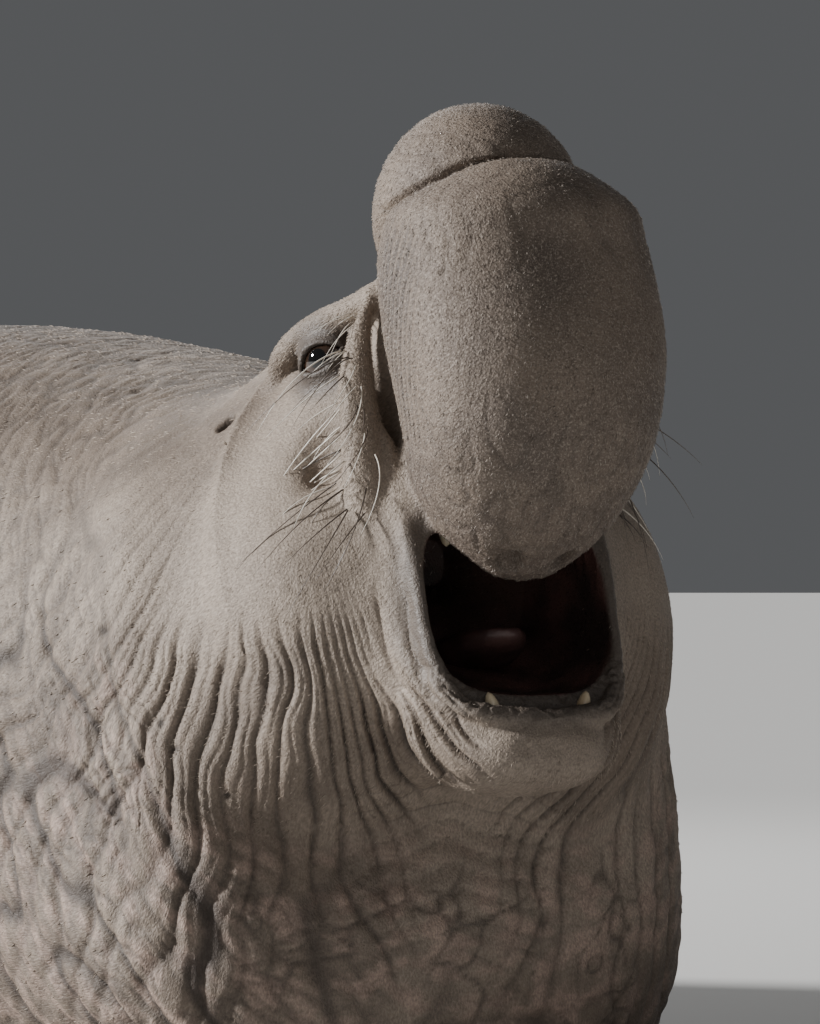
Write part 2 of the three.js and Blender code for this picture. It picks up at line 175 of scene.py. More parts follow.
def noise(p):
    """Smooth noise between about -1 and 1 with features one unit across."""
    cell = np.floor(p).astype(np.int64)
    f = p - cell
    w = f * f * f * (f * (f * 6 - 15) + 10)
    cell &= 255
    total = np.zeros(len(p))
    for dx in (0, 1):
        for dy in (0, 1):
            for dz in (0, 1):
                h = SHUFFLE[cell[:, 0] + dx & 255]
                h = SHUFFLE[(h + cell[:, 1] + dy) & 255]
                h = SHUFFLE[(h + cell[:, 2] + dz) & 255]
                g = SLOPES[h]
                dot = g[:, 0] * (f[:, 0] - dx) + g[:, 1] * (f[:, 1] - dy) + g[:, 2] * (f[:, 2] - dz)
                wx = w[:, 0] if dx else 1 - w[:, 0]
                wy = w[:, 1] if dy else 1 - w[:, 1]
                wz = w[:, 2] if dz else 1 - w[:, 2]
                total += dot * wx * wy * wz
    return total * 1.5


def cells(p):
    """Distances to the nearest and the second nearest point scattered one to a cell."""
    cell = np.floor(p).astype(np.int64)
    near = np.full(len(p), 9.0)
    second = np.full(len(p), 9.0)
    for dx in (-1, 0, 1):
        for dy in (-1, 0, 1):
            for dz in (-1, 0, 1):
                c = cell + (dx, dy, dz)
                h = SHUFFLE[c[:, 0] & 255]
                h = SHUFFLE[(h + c[:, 1]) & 255]
                h = SHUFFLE[(h + c[:, 2]) & 255]
                spot = c + 0.5 + 0.42 * SLOPES[h]
                d = np.sqrt(((p - spot) ** 2).sum(1))
                second = np.minimum(second, np.maximum(near, d))
                near = np.minimum(near, d)
    return near, second


# Trunk field. A lookup over the side view gives the station number of the slanting section at a point.
class SectionFinder:
    STEP = 12.0
    LOW, HIGH = np.array([-700.0, -120.0]), np.array([4000.0, 1300.0])

    def __init__(self, stations, per_station=14):
        self.t = np.linspace(0, len(stations) - 1, (len(stations) - 1) * per_station + 1)
        self.rows = spline(stations, self.t)
        ny, nz = ((self.HIGH - self.LOW) / self.STEP).astype(int)
        y = self.LOW[0] + self.STEP * np.arange(ny)
        z = self.LOW[1] + self.STEP * np.arange(nz)
        yy, zz = (a.ravel() for a in np.meshgrid(y, z, indexing="ij"))
        top, bottom = self.rows[:, 0:2], self.rows[:, 2:4]
        along = top - bottom
        length = np.hypot(along[:, 0], along[:, 1])
        ahead = ((zz[:, None] - bottom[None, :, 1]) * along[None, :, 0]
                 - (yy[:, None] - bottom[None, :, 0]) * along[None, :, 1]) / length
        behind = ahead < 0
        k = np.argmax(~behind, axis=1)
        none = behind.all(axis=1)
        k = np.where(none, len(self.t) - 1, np.maximum(k, 1))
        a = np.take_along_axis(ahead, (k - 1)[:, None], 1)[:, 0]
        b = np.take_along_axis(ahead, k[:, None], 1)[:, 0]
        f = np.where(np.abs(b - a) > 1e-9, -a / (b - a), 0)
        spacing = self.t[1]
        self.table = (self.t[k - 1] + f * spacing).reshape(ny, nz)

    def __call__(self, y, z):
        a = np.clip((y - self.LOW[0]) / self.STEP, 0, self.table.shape[0] - 1.001)
        b = np.clip((z - self.LOW[1]) / self.STEP, 0, self.table.shape[1] - 1.001)
        i, j = a.astype(int), b.astype(int)
        f, g = a - i, b - j
        t = self.table
        return (t[i, j] * (1 - f) * (1 - g) + t[i + 1, j] * f * (1 - g)
                + t[i, j + 1] * (1 - f) * g + t[i + 1, j + 1] * f * g)


FIND_SECTION = SectionFinder(TRUNK)


def trunk_place(p):
    """Section number of each point, and its place in that section: across, up from the widest line."""
    finder = FIND_SECTION
    last = finder.t[-1]
    y = p[:, 1]
    for _ in range(3):
        t = finder(y, p[:, 2])
        row = np.stack([np.interp(t, finder.t, finder.rows[:, k]) for k in range(7)], axis=1)
        top_y, top_z, low_y, low_z, x, wide, yaw = row.T
        mid_y = low_y + WIDEST_AT * (top_y - low_y)
        c, s = np.cos(np.radians(yaw)), np.sin(np.radians(yaw))
        dx, dy = p[:, 0] - x, p[:, 1] - mid_y
        across = dx * c + dy * s
        y = mid_y - dx * s + dy * c
    length = np.hypot(top_y - low_y, top_z - low_z)
    up = ((y - low_y) * (top_y - low_y) + (p[:, 2] - low_z) * (top_z - low_z)) / length**2
    ahead = ((p[:, 2] - low_z) * (top_y - low_y) - (y - low_y) * (top_z - low_z)) / length
    beyond = np.where(t <= 0, ahead, np.where(t >= last, -ahead, -1e9))
    return t, across, (up - WIDEST_AT) * length, wide, length, beyond


def section_distance(across, up, half_across, half_up, power):
    """Distance to a rounded section, measured along the line from its middle."""
    ratio = (np.abs(across / half_across) ** power + np.abs(up / half_up) ** power) ** (1 / power)
    reach = np.hypot(across, up)
    ratio = np.maximum(ratio, 1e-4)
    edge = np.where(ratio > 0.02, reach / ratio, np.minimum(half_across, half_up))
    return (ratio - 1) * edge


def trunk_field(p):
    _, across, up, wide, length, beyond = trunk_place(p)
    above = up >= 0
    half_up = np.where(above, (1 - WIDEST_AT) * length, WIDEST_AT * length)
    power = np.where(above, BACK_POWER, BELLY_POWER)
    return np.maximum(section_distance(across, up, wide, half_up, power), beyond)


def dense(stations, per_station=16):
    t = np.linspace(0, len(stations) - 1, (len(stations) - 1) * per_station + 1)
    return spline(stations, t)


FACE_ROWS = dense(FACE)
MOUTH_ROWS = dense(MOUTH)
LOBE_ROWS = dense(LOBE)


def face_field(q):
    y = q[:, 1]
    low, high, wide = (np.interp(y, FACE_ROWS[:, 0], FACE_ROWS[:, k]) for k in (1, 2, 3))
    d = section_distance(q[:, 0], q[:, 2] - (low + high) / 2, wide, (high - low) / 2, FACE_POWER)
    return np.maximum(np.maximum(d, FACE[0, 0] - y), y - FACE[-1, 0])


def mouth_field(q):
    y = q[:, 1]
    z, wide, high = (np.interp(y, MOUTH_ROWS[:, 0], MOUTH_ROWS[:, k]) for k in (1, 2, 3))
    d = section_distance(q[:, 0], q[:, 2] - z, wide, high, MOUTH_POWER)
    return np.maximum(d, y - MOUTH[-1, 0])


def turn_back(v, tilt, turn):
    """Undoes a turn about z and then a tilt about x, in degrees."""
    c, s = math.cos(math.radians(-turn)), math.sin(math.radians(-turn))
    x, y, z = c * v[:, 0] - s * v[:, 1], s * v[:, 0] + c * v[:, 1], v[:, 2]
    c, s = math.cos(math.radians(-tilt)), math.sin(math.radians(-tilt))
    return x, c * y - s * z, s * y + c * z


def ellipsoid(q, at, half, tilt=0.0, turn=0.0):
    x, y, z = turn_back(q - np.array(at, float), tilt, turn)
    k0 = np.sqrt((x / half[0]) ** 2 + (y / half[1]) ** 2 + (z / half[2]) ** 2)
    k1 = np.sqrt((x / half[0] ** 2) ** 2 + (y / half[1] ** 2) ** 2 + (z / half[2] ** 2) ** 2)
    return np.where(k0 < 0.05, -min(half), k0 * (k0 - 1) / np.maximum(k1, 1e-9))


def rope(q, points):
    """Distance to a chain of round links; each point is x, y, z and radius."""
    best = np.full(len(q), 1e9)
    for a, b in zip(points[:-1], points[1:]):
        a, b = np.array(a, float), np.array(b, float)
        along = b[:3] - a[:3]
        f = np.clip((q - a[:3]) @ along / (along @ along), 0, 1)
        off = q - a[:3] - f[:, None] * along
        best = np.minimum(best, np.sqrt((off**2).sum(1)) - (a[3] + f * (b[3] - a[3])))
    return best


def curve_points(points, per_span=4):
    """More points on a smooth curve through a few."""
    points = np.array(points, float)
    t = np.linspace(0, len(points) - 1, (len(points) - 1) * per_span + 1)
    return spline(points, t)


# Length of a bar's rounded ends, as a share of its half width there.
ROD_END = 0.6


def rod(p, start, end, half, end_half, flat):
    """Distance to a tapering bar of oval section, rounded at both ends."""
    start, end = np.array(start, float), np.array(end, float)
    axis = end - start
    length = np.linalg.norm(axis)
    axis = axis / length
    across = np.array(flat, float) - axis * (axis @ flat)
    across /= np.linalg.norm(across)
    up = np.cross(across, axis)
    v = p - start
    s = v @ axis
    f = np.clip(s / length, 0, 1)
    a = half[0] + f * (end_half[0] - half[0])
    b = half[1] + f * (end_half[1] - half[1])
    m = ROD_END * a
    e = s - np.clip(s, m, length - m)
    x, y = v @ across, v @ up
    k0 = np.sqrt((x / a) ** 2 + (y / b) ** 2 + (e / m) ** 2)
    k1 = np.sqrt((x / a**2) ** 2 + (y / b**2) ** 2 + (e / m**2) ** 2)
    return np.where(k0 < 0.05, -np.minimum(a, b), k0 * (k0 - 1) / np.maximum(k1, 1e-9))


# Head, in its own frame. A shape on the side is given for the left and used for both.
# A rounded mass has its middle, its half sizes, and its tilt and turn in degrees.
SKULL = ((0, 85, 800), (172, 225, 138), 8)
JOWL = ((152, 60, 545), (154, 205, 245), 8)
NOSE_ROOT = ((0, -78, 915), (112, 112, 84), -10)
CHEEK_HOLLOW = ((176, -66, 806), (26, 27, 66), 4)
GAP_BESIDE_NOSE = ((122, -128, 852), (17, 46, 82))
EYE_SOCKET = ((170, -8, 901), (46, 64, 33), -28, -14)
DOME = ((-4, -116, 1050), (122, 128, 132))
NOSTRIL = ((34, -262, 640), (15, 22, 34), -20)

FURROW_DEPTH = 9.0
FURROW_WIDTH = 11.0


def nose_field(q):
    y, wide, deep = (np.interp(q[:, 2], LOBE_ROWS[:, 0], LOBE_ROWS[:, k]) for k in (1, 2, 3))
    lobe = section_distance(q[:, 0], q[:, 1] - y, wide, deep, LOBE_POWER)
    lobe = np.maximum(lobe, np.maximum(LOBE[0, 0] - q[:, 2], q[:, 2] - LOBE[-1, 0]))
    dome = ellipsoid(q, *DOME)
    return smooth_min(lobe, dome, 5) + FURROW_DEPTH * np.exp(-(((dome - lobe) / FURROW_WIDTH) ** 2))


# Rolls and folds of the face as chains of round links: x, y, z and radius.
BROW_ROLL = curve_points(
    [(166, 100, 856, 8), (163, 88, 884, 14), (156, 60, 908, 16), (143, 14, 928, 17), (126, -32, 943, 17),
     (96, -78, 968, 18)]
)
LID_FOLD = curve_points([(166, 52, 880, 3), (160, 32, 900, 5), (146, 2, 916, 5), (130, -30, 930, 3)])
LIP_PAD = curve_points(
    [(118, -70, 962, 3), (136, -78, 918, 11), (149, -94, 862, 20), (149, -106, 806, 23), (145, -112, 747, 26),
     (141, -116, 712, 19), (138, -118, 688, 7)]
)
PAD_FOLD = curve_points([(130, -120, 806, 4), (124, -132, 776, 9), (119, -137, 724, 10), (111, -142, 698, 5)])
INNER_FOLD = curve_points([(112, -142, 790, 3), (111, -147, 740, 6), (107, -148, 702, 5)])
LIP_RIM = curve_points(
    [(121, -168, 696, 4), (119, -188, 650, 10), (116, -213, 574, 12), (107, -243, 508, 13),
     (78, -270, 482, 13), (0, -286, 474, 12)]
)
LOWER_LIP = curve_points(
    [(122, -180, 574, 5), (123, -192, 546, 11), (113, -214, 486, 13), (84, -247, 442, 13),
     (44, -274, 424, 12), (0, -285, 420, 12)]
)
LIP_FOLD = curve_points([(129, -186, 500, 3), (127, -200, 468, 9), (118, -212, 438, 10), (102, -222, 410, 5)])
# Each fold with the width over which it blends into the face.
FACE_FOLDS = ((LIP_PAD, 14), (PAD_FOLD, 7), (INNER_FOLD, 6), (LIP_RIM, 16), (LOWER_LIP, 16), (LIP_FOLD, 12))

# Left eye: the way it looks out, and the slant of its lids from the outer corner up to the inner one.
LID_THICKNESS = 6.0
EYE_OUT = np.array([0.80, -0.56, 0.10])
EYE_OUT /= np.linalg.norm(EYE_OUT)
EYE_ALONG = np.cross(EYE_OUT, np.cross(np.array([-0.25, -0.84, 0.48]), EYE_OUT))
EYE_ALONG /= np.linalg.norm(EYE_ALONG)
EYE_ACROSS = np.cross(EYE_OUT, EYE_ALONG)
LID_HALF_LENGTH = 29.0
LID_HALF_OPENING = 15.0
LID_BEHIND = 8.0


def mirrored(q):
    s = q.copy()
    s[:, 0] = np.abs(s[:, 0])
    return s


def lid_opening(s):
    v = s - EYE_AT
    along, across = v @ EYE_ALONG, v @ EYE_ACROSS
    slit = np.abs(across) - LID_HALF_OPENING * (1 - (along / LID_HALF_LENGTH) ** 2)
    return np.maximum(slit * 0.75, LID_BEHIND - v @ EYE_OUT)


def head_field(q):
    s = mirrored(q)
    d = face_field(q)
    d = smooth_min(d, ellipsoid(q, *SKULL), 50)
    d = smooth_min(d, ellipsoid(s, *JOWL), 70)
    d = smooth_min(d, ellipsoid(q, *NOSE_ROOT), 40)
    d = smooth_max(d, -ellipsoid(s, *CHEEK_HOLLOW), 36)
    d = smooth_max(d, -ellipsoid(s, *GAP_BESIDE_NOSE), 14)
    for fold, blend in FACE_FOLDS:
        d = smooth_min(d, rope(s, fold), blend)
    return d


def around_eyes(d, q):
    """Cuts the sockets and lays the brow, lids and their folds over the eyes."""
    s = mirrored(q)
    d = smooth_max(d, -ellipsoid(s, *EYE_SOCKET), 12)
    d = smooth_min(d, rope(s, BROW_ROLL), 14)
    lids = np.linalg.norm(s - EYE_AT, axis=1) - EYE_RADIUS - LID_THICKNESS
    d = smooth_min(d, lids, 14)
    d = smooth_min(d, rope(s, LID_FOLD), 6)
    return smooth_max(d, -lid_opening(s), 4)


# Flippers and tail, given for the left side.
# A bar has its start and end, half width and half thickness at each of them, and the way across it.
ARM = ((400, 930, 250), (600, 1075, 74), (128, 96), (118, 50), (0, 1, 0))
PALM = ((596, 1000, 50), (706, 1330, 22), (108, 44), (112, 26), (1, 0, 0))
TAIL = ((0, 3480, 158), (0, 3690, 118), (62, 40), (24, 12), (1, 0, 0))
FORE_PALM = np.array([664.0, 1170.0, 30.0])
FORE_TURN, FORE_LEAN = 17.0, 90.0
FORE_LENGTHS = (405, 396, 370, 332, 284)
FORE_SPANS = (160.0, 232.0)
FORE_HALF, FORE_TIP_HALF = (38.0, 22.0), (27.0, 12.0)
HIND_ANKLE = (92, 3290, 142)
HIND_HEEL = np.array([128.0, 3450.0, 116.0])
HIND_TURN, HIND_LEAN = 15.0, 42.0
HIND_LENGTHS = (560, 500, 462, 500, 575)
HIND_SPANS = (112.0, 292.0)
HIND_HALF, HIND_TIP_HALF = (34.0, 25.0), (30.0, 11.0)


def digit_lines(root, turn, lean, spans, lengths):
    """Start, end and direction across for each digit of a left flipper, from the leading edge back."""
    turn, lean = math.radians(turn), math.radians(lean)
    along = np.array([math.sin(turn), math.cos(turn), 0])
    out = np.array([math.cos(turn), -math.sin(turn), 0])
    across = out * math.sin(lean) + np.array([0, 0, math.cos(lean)])
    lines = []
    for k, length in enumerate(lengths):
        place = 0.5 - k / (len(lengths) - 1)
        start = root + across * place * spans[0]
        end = root + across * place * spans[1] + along * length
        lines.append((start, end, across))
    return lines


FORE_DIGITS = digit_lines(FORE_PALM, FORE_TURN, FORE_LEAN, FORE_SPANS, FORE_LENGTHS)
for start, end, _ in FORE_DIGITS:
    start[2] = FORE_HALF[1] + 8
    end[2] = FORE_TIP_HALF[1] - 3
HIND_DIGITS = digit_lines(HIND_HEEL, HIND_TURN, HIND_LEAN, HIND_SPANS, HIND_LENGTHS)


def fore_field(s):
    d = smooth_min(rod(s, *ARM), rod(s, *PALM), 60)
    for start, end, _ in FORE_DIGITS:
        d = smooth_min(d, rod(s, start, end, FORE_HALF, FORE_TIP_HALF, (1, 0, 0)), 9)
    return d


def hind_field(s):
    across = HIND_DIGITS[0][2]
    start, end, _ = HIND_DIGITS[2]
    d = rod(s, HIND_ANKLE, HIND_HEEL, (92, 78), (76, 40), across)
    web_end = start + 0.92 * (end - start)
    d = smooth_min(d, rod(s, start, web_end, (74, 26), (106, 8), across), 30)
    for start, end, _ in HIND_DIGITS:
        d = smooth_min(d, rod(s, start, end, HIND_HALF, HIND_TIP_HALF, across), 9)
    return d


# Where each part of the body can be found.
FORE_FROM_X, FORE_FROM_Y, FORE_UP_TO_Y, FORE_UP_TO_Z = 220, 700, 1750, 420
HIND_FROM_Y = 3050
TAIL_FROM_Y = 3350
FACE_UP_TO_Y, FACE_FROM_Z = 420, 180


def near_fore_flipper(s):
    x, y, z = s.T
    return (x > FORE_FROM_X) & (y > FORE_FROM_Y) & (y < FORE_UP_TO_Y) & (z < FORE_UP_TO_Z)


def skin_field(p):
    """Distance to the whole hide, less than nothing inside."""
    d = trunk_field(p)
    s = mirrored(p)
    parts = (
        (near_fore_flipper(s), fore_field, 50),
        (p[:, 1] > HIND_FROM_Y, hind_field, 50),
        (p[:, 1] > TAIL_FROM_Y, lambda places: rod(places, *TAIL), 30),
    )
    for zone, part, blend in parts:
        chosen = np.flatnonzero(zone)
        if len(chosen):
            d[chosen] = smooth_min(d[chosen], part(s[chosen]), blend)
    front = np.flatnonzero((p[:, 1] < FACE_UP_TO_Y) & (p[:, 2] > FACE_FROM_Z))
    if len(front):
        q = to_head(p[front])
        joined = smooth_min(d[front], head_field(q), 60)
        joined = around_eyes(joined, q)
        joined = smooth_max(joined, -mouth_field(q), 8)
        joined = smooth_min(joined, nose_field(q), 16)
        d[front] = smooth_max(joined, -ellipsoid(mirrored(q), *NOSTRIL), 12)
    return smooth_max(d, FLOOR_CLEARANCE - p[:, 2], 8)


def sample(low, high, step):
    """The field on a lattice, worked out closely only near the surface."""
    block = 4
    size = [int(math.ceil((h - l) / step / block)) * block for l, h in zip(low, high)]
    coarse_size = [n // block + 1 for n in size]
    grid = np.stack(np.meshgrid(*[np.arange(n) for n in coarse_size], indexing="ij"), -1).reshape(-1, 3)
    coarse = skin_field(grid * (step * block) + np.array(low)).reshape(coarse_size)
    inside = coarse < 0
    changes = np.abs(coarse) < step * block * 1.4
    for axis in range(3):
        for shift in (1, -1):
            changes |= np.roll(inside, shift, axis) != inside
    near = changes.copy()
    for axis in range(3):
        for shift in (1, -1):
            near |= np.roll(changes, shift, axis)
    values = np.repeat(np.repeat(np.repeat(coarse, block, 0), block, 1), block, 2)
    wanted = np.repeat(np.repeat(np.repeat(near, block, 0), block, 1), block, 2)
    cells_at = np.argwhere(wanted)
    for chunk in np.array_split(cells_at, max(1, len(cells_at) // 400000)):
        at = chunk * step + np.array(low)
        values[chunk[:, 0], chunk[:, 1], chunk[:, 2]] = skin_field(at)
    return values


SKIN_LOW = (-1000.0, -460.0, -40.0)
SKIN_HIGH = (1000.0, 4150.0, 1260.0)


def outward(p, field, reach=0.6):
    """Unit direction in which the field grows, and its rate."""
    corners = np.array([[1, -1, -1], [-1, -1, 1], [-1, 1, -1], [1, 1, 1]], float)
    slope = np.zeros_like(p)
    for corner in corners:
        slope += corner * field(p + corner * reach)[:, None]
    slope /= 4 * reach
    rate = np.linalg.norm(slope, axis=1)
    return slope / np.maximum(rate, 1e-6)[:, None], rate


def settle(p, rounds=2):
    """Moves points onto the hide's surface."""
    for _ in range(rounds):
        direction, rate = outward(p, skin_field)
        move = skin_field(p) / np.maximum(rate, 0.3)
        p = p - direction * np.clip(move, -6, 6)[:, None]
    return p


def without_specks(points, quads):
    """Keeps the animal itself and drops specks of surface that float apart from it."""
    label = np.arange(len(points))
    while True:
        lowest = label[quads].min(axis=1)
        lower = label.copy()
        for corner in range(4):
            np.minimum.at(lower, quads[:, corner], lowest)
        lower = lower[lower]
        if (lower == label).all():
            break
        label = lower
    kept = label == np.bincount(label).argmax()
    number = np.cumsum(kept) - 1
    return points[kept], number[quads[kept[quads[:, 0]]]]


def skin_mesh():
    values = sample(SKIN_LOW, SKIN_HIGH, SKIN_STEP)
    grid = openvdb.FloatGrid()
    grid.background = SKIN_STEP * 4
    grid.copyFromArray(values.astype(np.float32))
    points, quads = grid.convertToQuads(isovalue=0.0)
    points = points.astype(float) * SKIN_STEP + np.array(SKIN_LOW)
    return without_specks(points, quads[:, ::-1].astype(np.int64))


def to_packed_frame():
    """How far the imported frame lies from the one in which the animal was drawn."""
    low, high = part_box("eye_left")
    other_low, other_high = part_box("eye_right")
    middle_y = (low[1] + high[1] + other_low[1] + other_high[1]) / 4
    nominal = from_head(np.array([EYE_AT, EYE_AT * (-1, 1, 1)]))
    return np.array([0.0, middle_y / MM - nominal[:, 1].mean(), 0.0])


SHIFT = to_packed_frame()


def link(name, data):
    made = bpy.data.objects.new(name, data)
    bpy.context.scene.collection.objects.link(made)
    return made


def coordinates(mesh):
    flat = np.empty(len(mesh.vertices) * 3)
    mesh.vertices.foreach_get("co", flat)
    return flat.reshape(-1, 3)


def divide(mesh, chosen):
    """Splits in four the faces whose middles are chosen."""
    bm = bmesh.new()
    bm.from_mesh(mesh)
    middles = np.array([f.calc_center_median() for f in bm.faces])
    wanted = chosen(middles)
    edges = {e for f, split in zip(bm.faces, wanted) if split for e in f.edges}
    bmesh.ops.subdivide_edges(bm, edges=list(edges), cuts=1, use_grid_fill=True)
    bm.to_mesh(mesh)
    bm.free()


def store(mesh, name, values):
    """Keeps a number or a direction for each point of a mesh."""
    vector = values.ndim > 1
    layer = mesh.attributes.new(name, "FLOAT_VECTOR" if vector else "FLOAT", "POINT")
    flat = np.ascontiguousarray(values, np.float32).ravel()
    layer.data.foreach_set("vector" if vector else "value", flat)


def near_head(p):
    return (to_head(p)[:, 1] < HEAD_UP_TO_Y) & (p[:, 2] > 350)


def near_eyes(p):
    return np.linalg.norm(mirrored(to_head(p)) - EYE_AT, axis=1) < EYE_REACH


# Distance along the body of each section, in mm, measured between the middles of the sections.
TOPS, BOTTOMS = FIND_SECTION.rows[:, 0:2], FIND_SECTION.rows[:, 2:4]
MIDDLES = BOTTOMS + WIDEST_AT * (TOPS - BOTTOMS)
SECTION_ALONG = np.concatenate([[0], np.cumsum(np.hypot(*np.diff(MIDDLES, axis=0).T))])


def body_along(t, beyond):
    """Distance along the body, less than nothing ahead of the first section."""
    return np.interp(t, FIND_SECTION.t, SECTION_ALONG) - np.where(t <= 0, np.maximum(beyond, 0), 0)


def ridge(phase, power):
    """Rounded crests between sharp valleys, one to each unit of the phase; 0 in a valley, 1 on a crest."""
    return np.abs(np.sin(np.pi * phase)) ** power


SEAM_WIDTH = 0.4


def seams(x, y, z, shift):
    """1 along wandering seams of the hide, 0 away from them."""
    return 1 - np.minimum(np.abs(noise(np.stack([x, y, z], axis=1) + shift)) / SEAM_WIDTH, 1)


# The neck's folds run like rays from the nape. Its place in the head's frame, as seen across the cheek.
NAPE_SIDE = -182.0
NAPE_Z = 890.0
SIDE_SHARE, FRONT_SHARE = 0.906, 0.423
RAY_SPACING = math.radians(3.7)
# Past this distance from the nape the rays that run forward under the jaw bend forward more and more.
RAY_STRAIGHT, RAY_BEND = 350.0, 0.0022

# Depths of the folds, in mm.
PLEAT_DEPTH, LOW_PLEAT_DEPTH = 2.6, 8.0
ARC_DEPTH = 2.6
BRANCH_DEPTH = 6.0
FINE_DEPTH = 2.3
CRACK_DEPTH = 2.6
FLANK_DEPTH = 2.6


def folds(p, along, across, up, t, q):
    """Depth of the folds under the outermost skin, the painted shade laid in them, the neck shield and the
    bare face.
    """
    s = mirrored(q)
    aside = -SIDE_SHARE * s[:, 0] - FRONT_SHARE * q[:, 1] - NAPE_SIDE
    under = NAPE_Z - q[:, 2]
    reach = np.hypot(aside, under)
    ray = np.arctan2(aside, under)
    forward = np.maximum(ray, 0) * (1 - 1 / (1 + RAY_BEND * np.maximum(reach - RAY_STRAIGHT, 0)))
    drift = noise(p / 190)
    wander = noise(p / 66 + 5.1)
    under_jaw = smoothstep(0.05, 0.32, ray)
    ray_phase = (ray - forward) * (1 + 0.8 * under_jaw) / RAY_SPACING + 1.0 * drift + 0.42 * wander

    cheek = (1 - smoothstep(30, 105, q[:, 1])) * smoothstep(520, 610, q[:, 2])
    smooth_from = 350 + 105 * smoothstep(50, 110, s[:, 0])
    face = (1 - smoothstep(-170, -110, q[:, 1])) * smoothstep(0, 80, q[:, 2] - smooth_from)
    bare = np.maximum(cheek, face)
    on_side = smoothstep(20, 110, s[:, 0])
    near = smoothstep(40, 160, reach) * (1 - smoothstep(640, 1050, reach))
    low = smoothstep(150, 380, under)
    resting = smoothstep(8, 90, p[:, 2])

    # Pleats along the rays.
    change = 0.5 + 0.5 * noise(np.stack([ray_phase / 1.1, reach / 210, 0 * ray], axis=1) + 30.0)
    crest = ridge(ray_phase, 0.62)
    fine = ridge(2 * ray_phase + 0.5 * wander, 0.7)
    pleats = 1 - crest * (0.66 + 0.34 * fine)
    pleated = near * on_side * (0.3 + 0.7 * change + 0.4 * under_jaw)
    depth = pleated * (PLEAT_DEPTH + LOW_PLEAT_DEPTH * low) * pleats
    # The second value is painted shade: it darkens the hide's colour in the pleats, arcs, seams, cracks and
    # flank folds, where shade would fall.
    shade_in_folds = pleated * (0.35 + 0.65 * low) * smoothstep(0.25, 1.0, pleats)

    # Arcs under the chin.
    arcs = 1 - ridge((q[:, 2] + 0.3 * s[:, 0]) / 25 + 0.5 * wander, 0.7)
    arched = (1 - smoothstep(90, 190, s[:, 0])) * smoothstep(420, 380, q[:, 2]) * near
    depth += ARC_DEPTH * arched * arcs
    shade_in_folds = np.maximum(shade_in_folds, 0.5 * arched * smoothstep(0.5, 1.0, arcs))

    # Branching folds behind the pleats, and finer ones among them.
    branching = seams(along / 58 + 0.7 * drift, across / 230, up / 230, 3.3)
    past_chest = smoothstep(0.8, 2.0, t) * smoothstep(-120, 40, p[:, 1])
    behind = past_chest * (1 - smoothstep(3.4, 5.0, t)) * smoothstep(360, 120, up)
    depth += BRANCH_DEPTH * behind * branching**1.6
    shade_in_folds = np.maximum(shade_in_folds, behind * smoothstep(0.5, 1.0, branching))
    finer = seams(along / 19 + 0.6 * wander, across / 95, up / 95, 9.7)
    on_neck = past_chest * (1 - smoothstep(3.8, 5.2, t))
    depth += FINE_DEPTH * on_neck * finer**1.6
    shade_in_folds = np.maximum(shade_in_folds, 0.55 * on_neck * smoothstep(0.5, 1.0, finer))

    # Cracks in the shield of the neck and chest.
    spread = np.stack([along / 50 + 1.1 * wander, across / 100, up / 80 + 0.6 * drift], axis=1)
    close, second = cells(spread)
    cracks = 1 - smoothstep(0.0, 0.12, second - close)
    shield = smoothstep(0.6, 1.8, t) * (1 - smoothstep(4.2, 5.4, t)) * smoothstep(120, -80, up)
    cracked = shield * smoothstep(-0.3, 0.4, drift + 0.6 * wander)
    depth += CRACK_DEPTH * cracked * cracks
    shade_in_folds = np.maximum(shade_in_folds, 0.7 * cracked * cracks)

    # Slack folds on the flanks.
    flank = smoothstep(3.8, 5.2, t)
    slack = seams(along / 120, across / 420, up / 420, 14.0)
    depth += FLANK_DEPTH * flank * slack**1.4
    shade_in_folds = np.maximum(shade_in_folds, 0.15 * flank * slack**2)
    whole = (1 - 0.96 * bare) * resting
    return depth * whole, shade_in_folds * whole, shield, bare


NOSE_CREASE_DEPTH = 3.6
DOME_CREASE_DEPTH = 1.1
HANGING_CREASE_DEPTH = 1.6


def nose_creases(q):
    """Depth of the creases at the root of the nose, across its dome and down its hanging end."""
    on_side = smoothstep(-295, -215, q[:, 1]) * (1 - smoothstep(-96, -70, q[:, 1]))
    on_side *= smoothstep(740, 830, q[:, 2])
    bend = 0.6 * noise(q / (40, 60, 90) + 2.0)
    upright = 1 - ridge((q[:, 1] + 0.16 * (q[:, 2] - 850)) / 13 + bend, 0.8)
    over = smoothstep(930, 1010, q[:, 2]) * (1 - smoothstep(-60, 0, q[:, 1]))
    turn = np.hypot(q[:, 1] + 100, q[:, 2] - 960)
    across = 1 - ridge(turn / 24 + 0.5 * noise(q / (90, 50, 50) + 8.0), 0.5)
    lower = smoothstep(900, 760, q[:, 2]) * (1 - smoothstep(-200, -120, q[:, 1]))
    hanging = np.abs(noise(q / (26, 26, 110) + 21.0))
    return (
        NOSE_CREASE_DEPTH * on_side * (1 - smoothstep(1000, 1060, q[:, 2])) * upright
        + DOME_CREASE_DEPTH * over * across
        + HANGING_CREASE_DEPTH * lower * (1 - np.minimum(hanging / 0.35, 1) ** 0.6)
    )


EAR_Y, EAR_Z = 128.0, 815.0
EAR_RADIUS = 9.0
EAR_DEPTH = 15.0


def ear_holes(s):
    off = np.hypot(s[:, 1] - EAR_Y, s[:, 2] - EAR_Z)
    return np.exp(-((off / EAR_RADIUS) ** 4)) * (s[:, 0] > 120)


PIT_COUNT = 46
PIT_DEPTH = 2.6


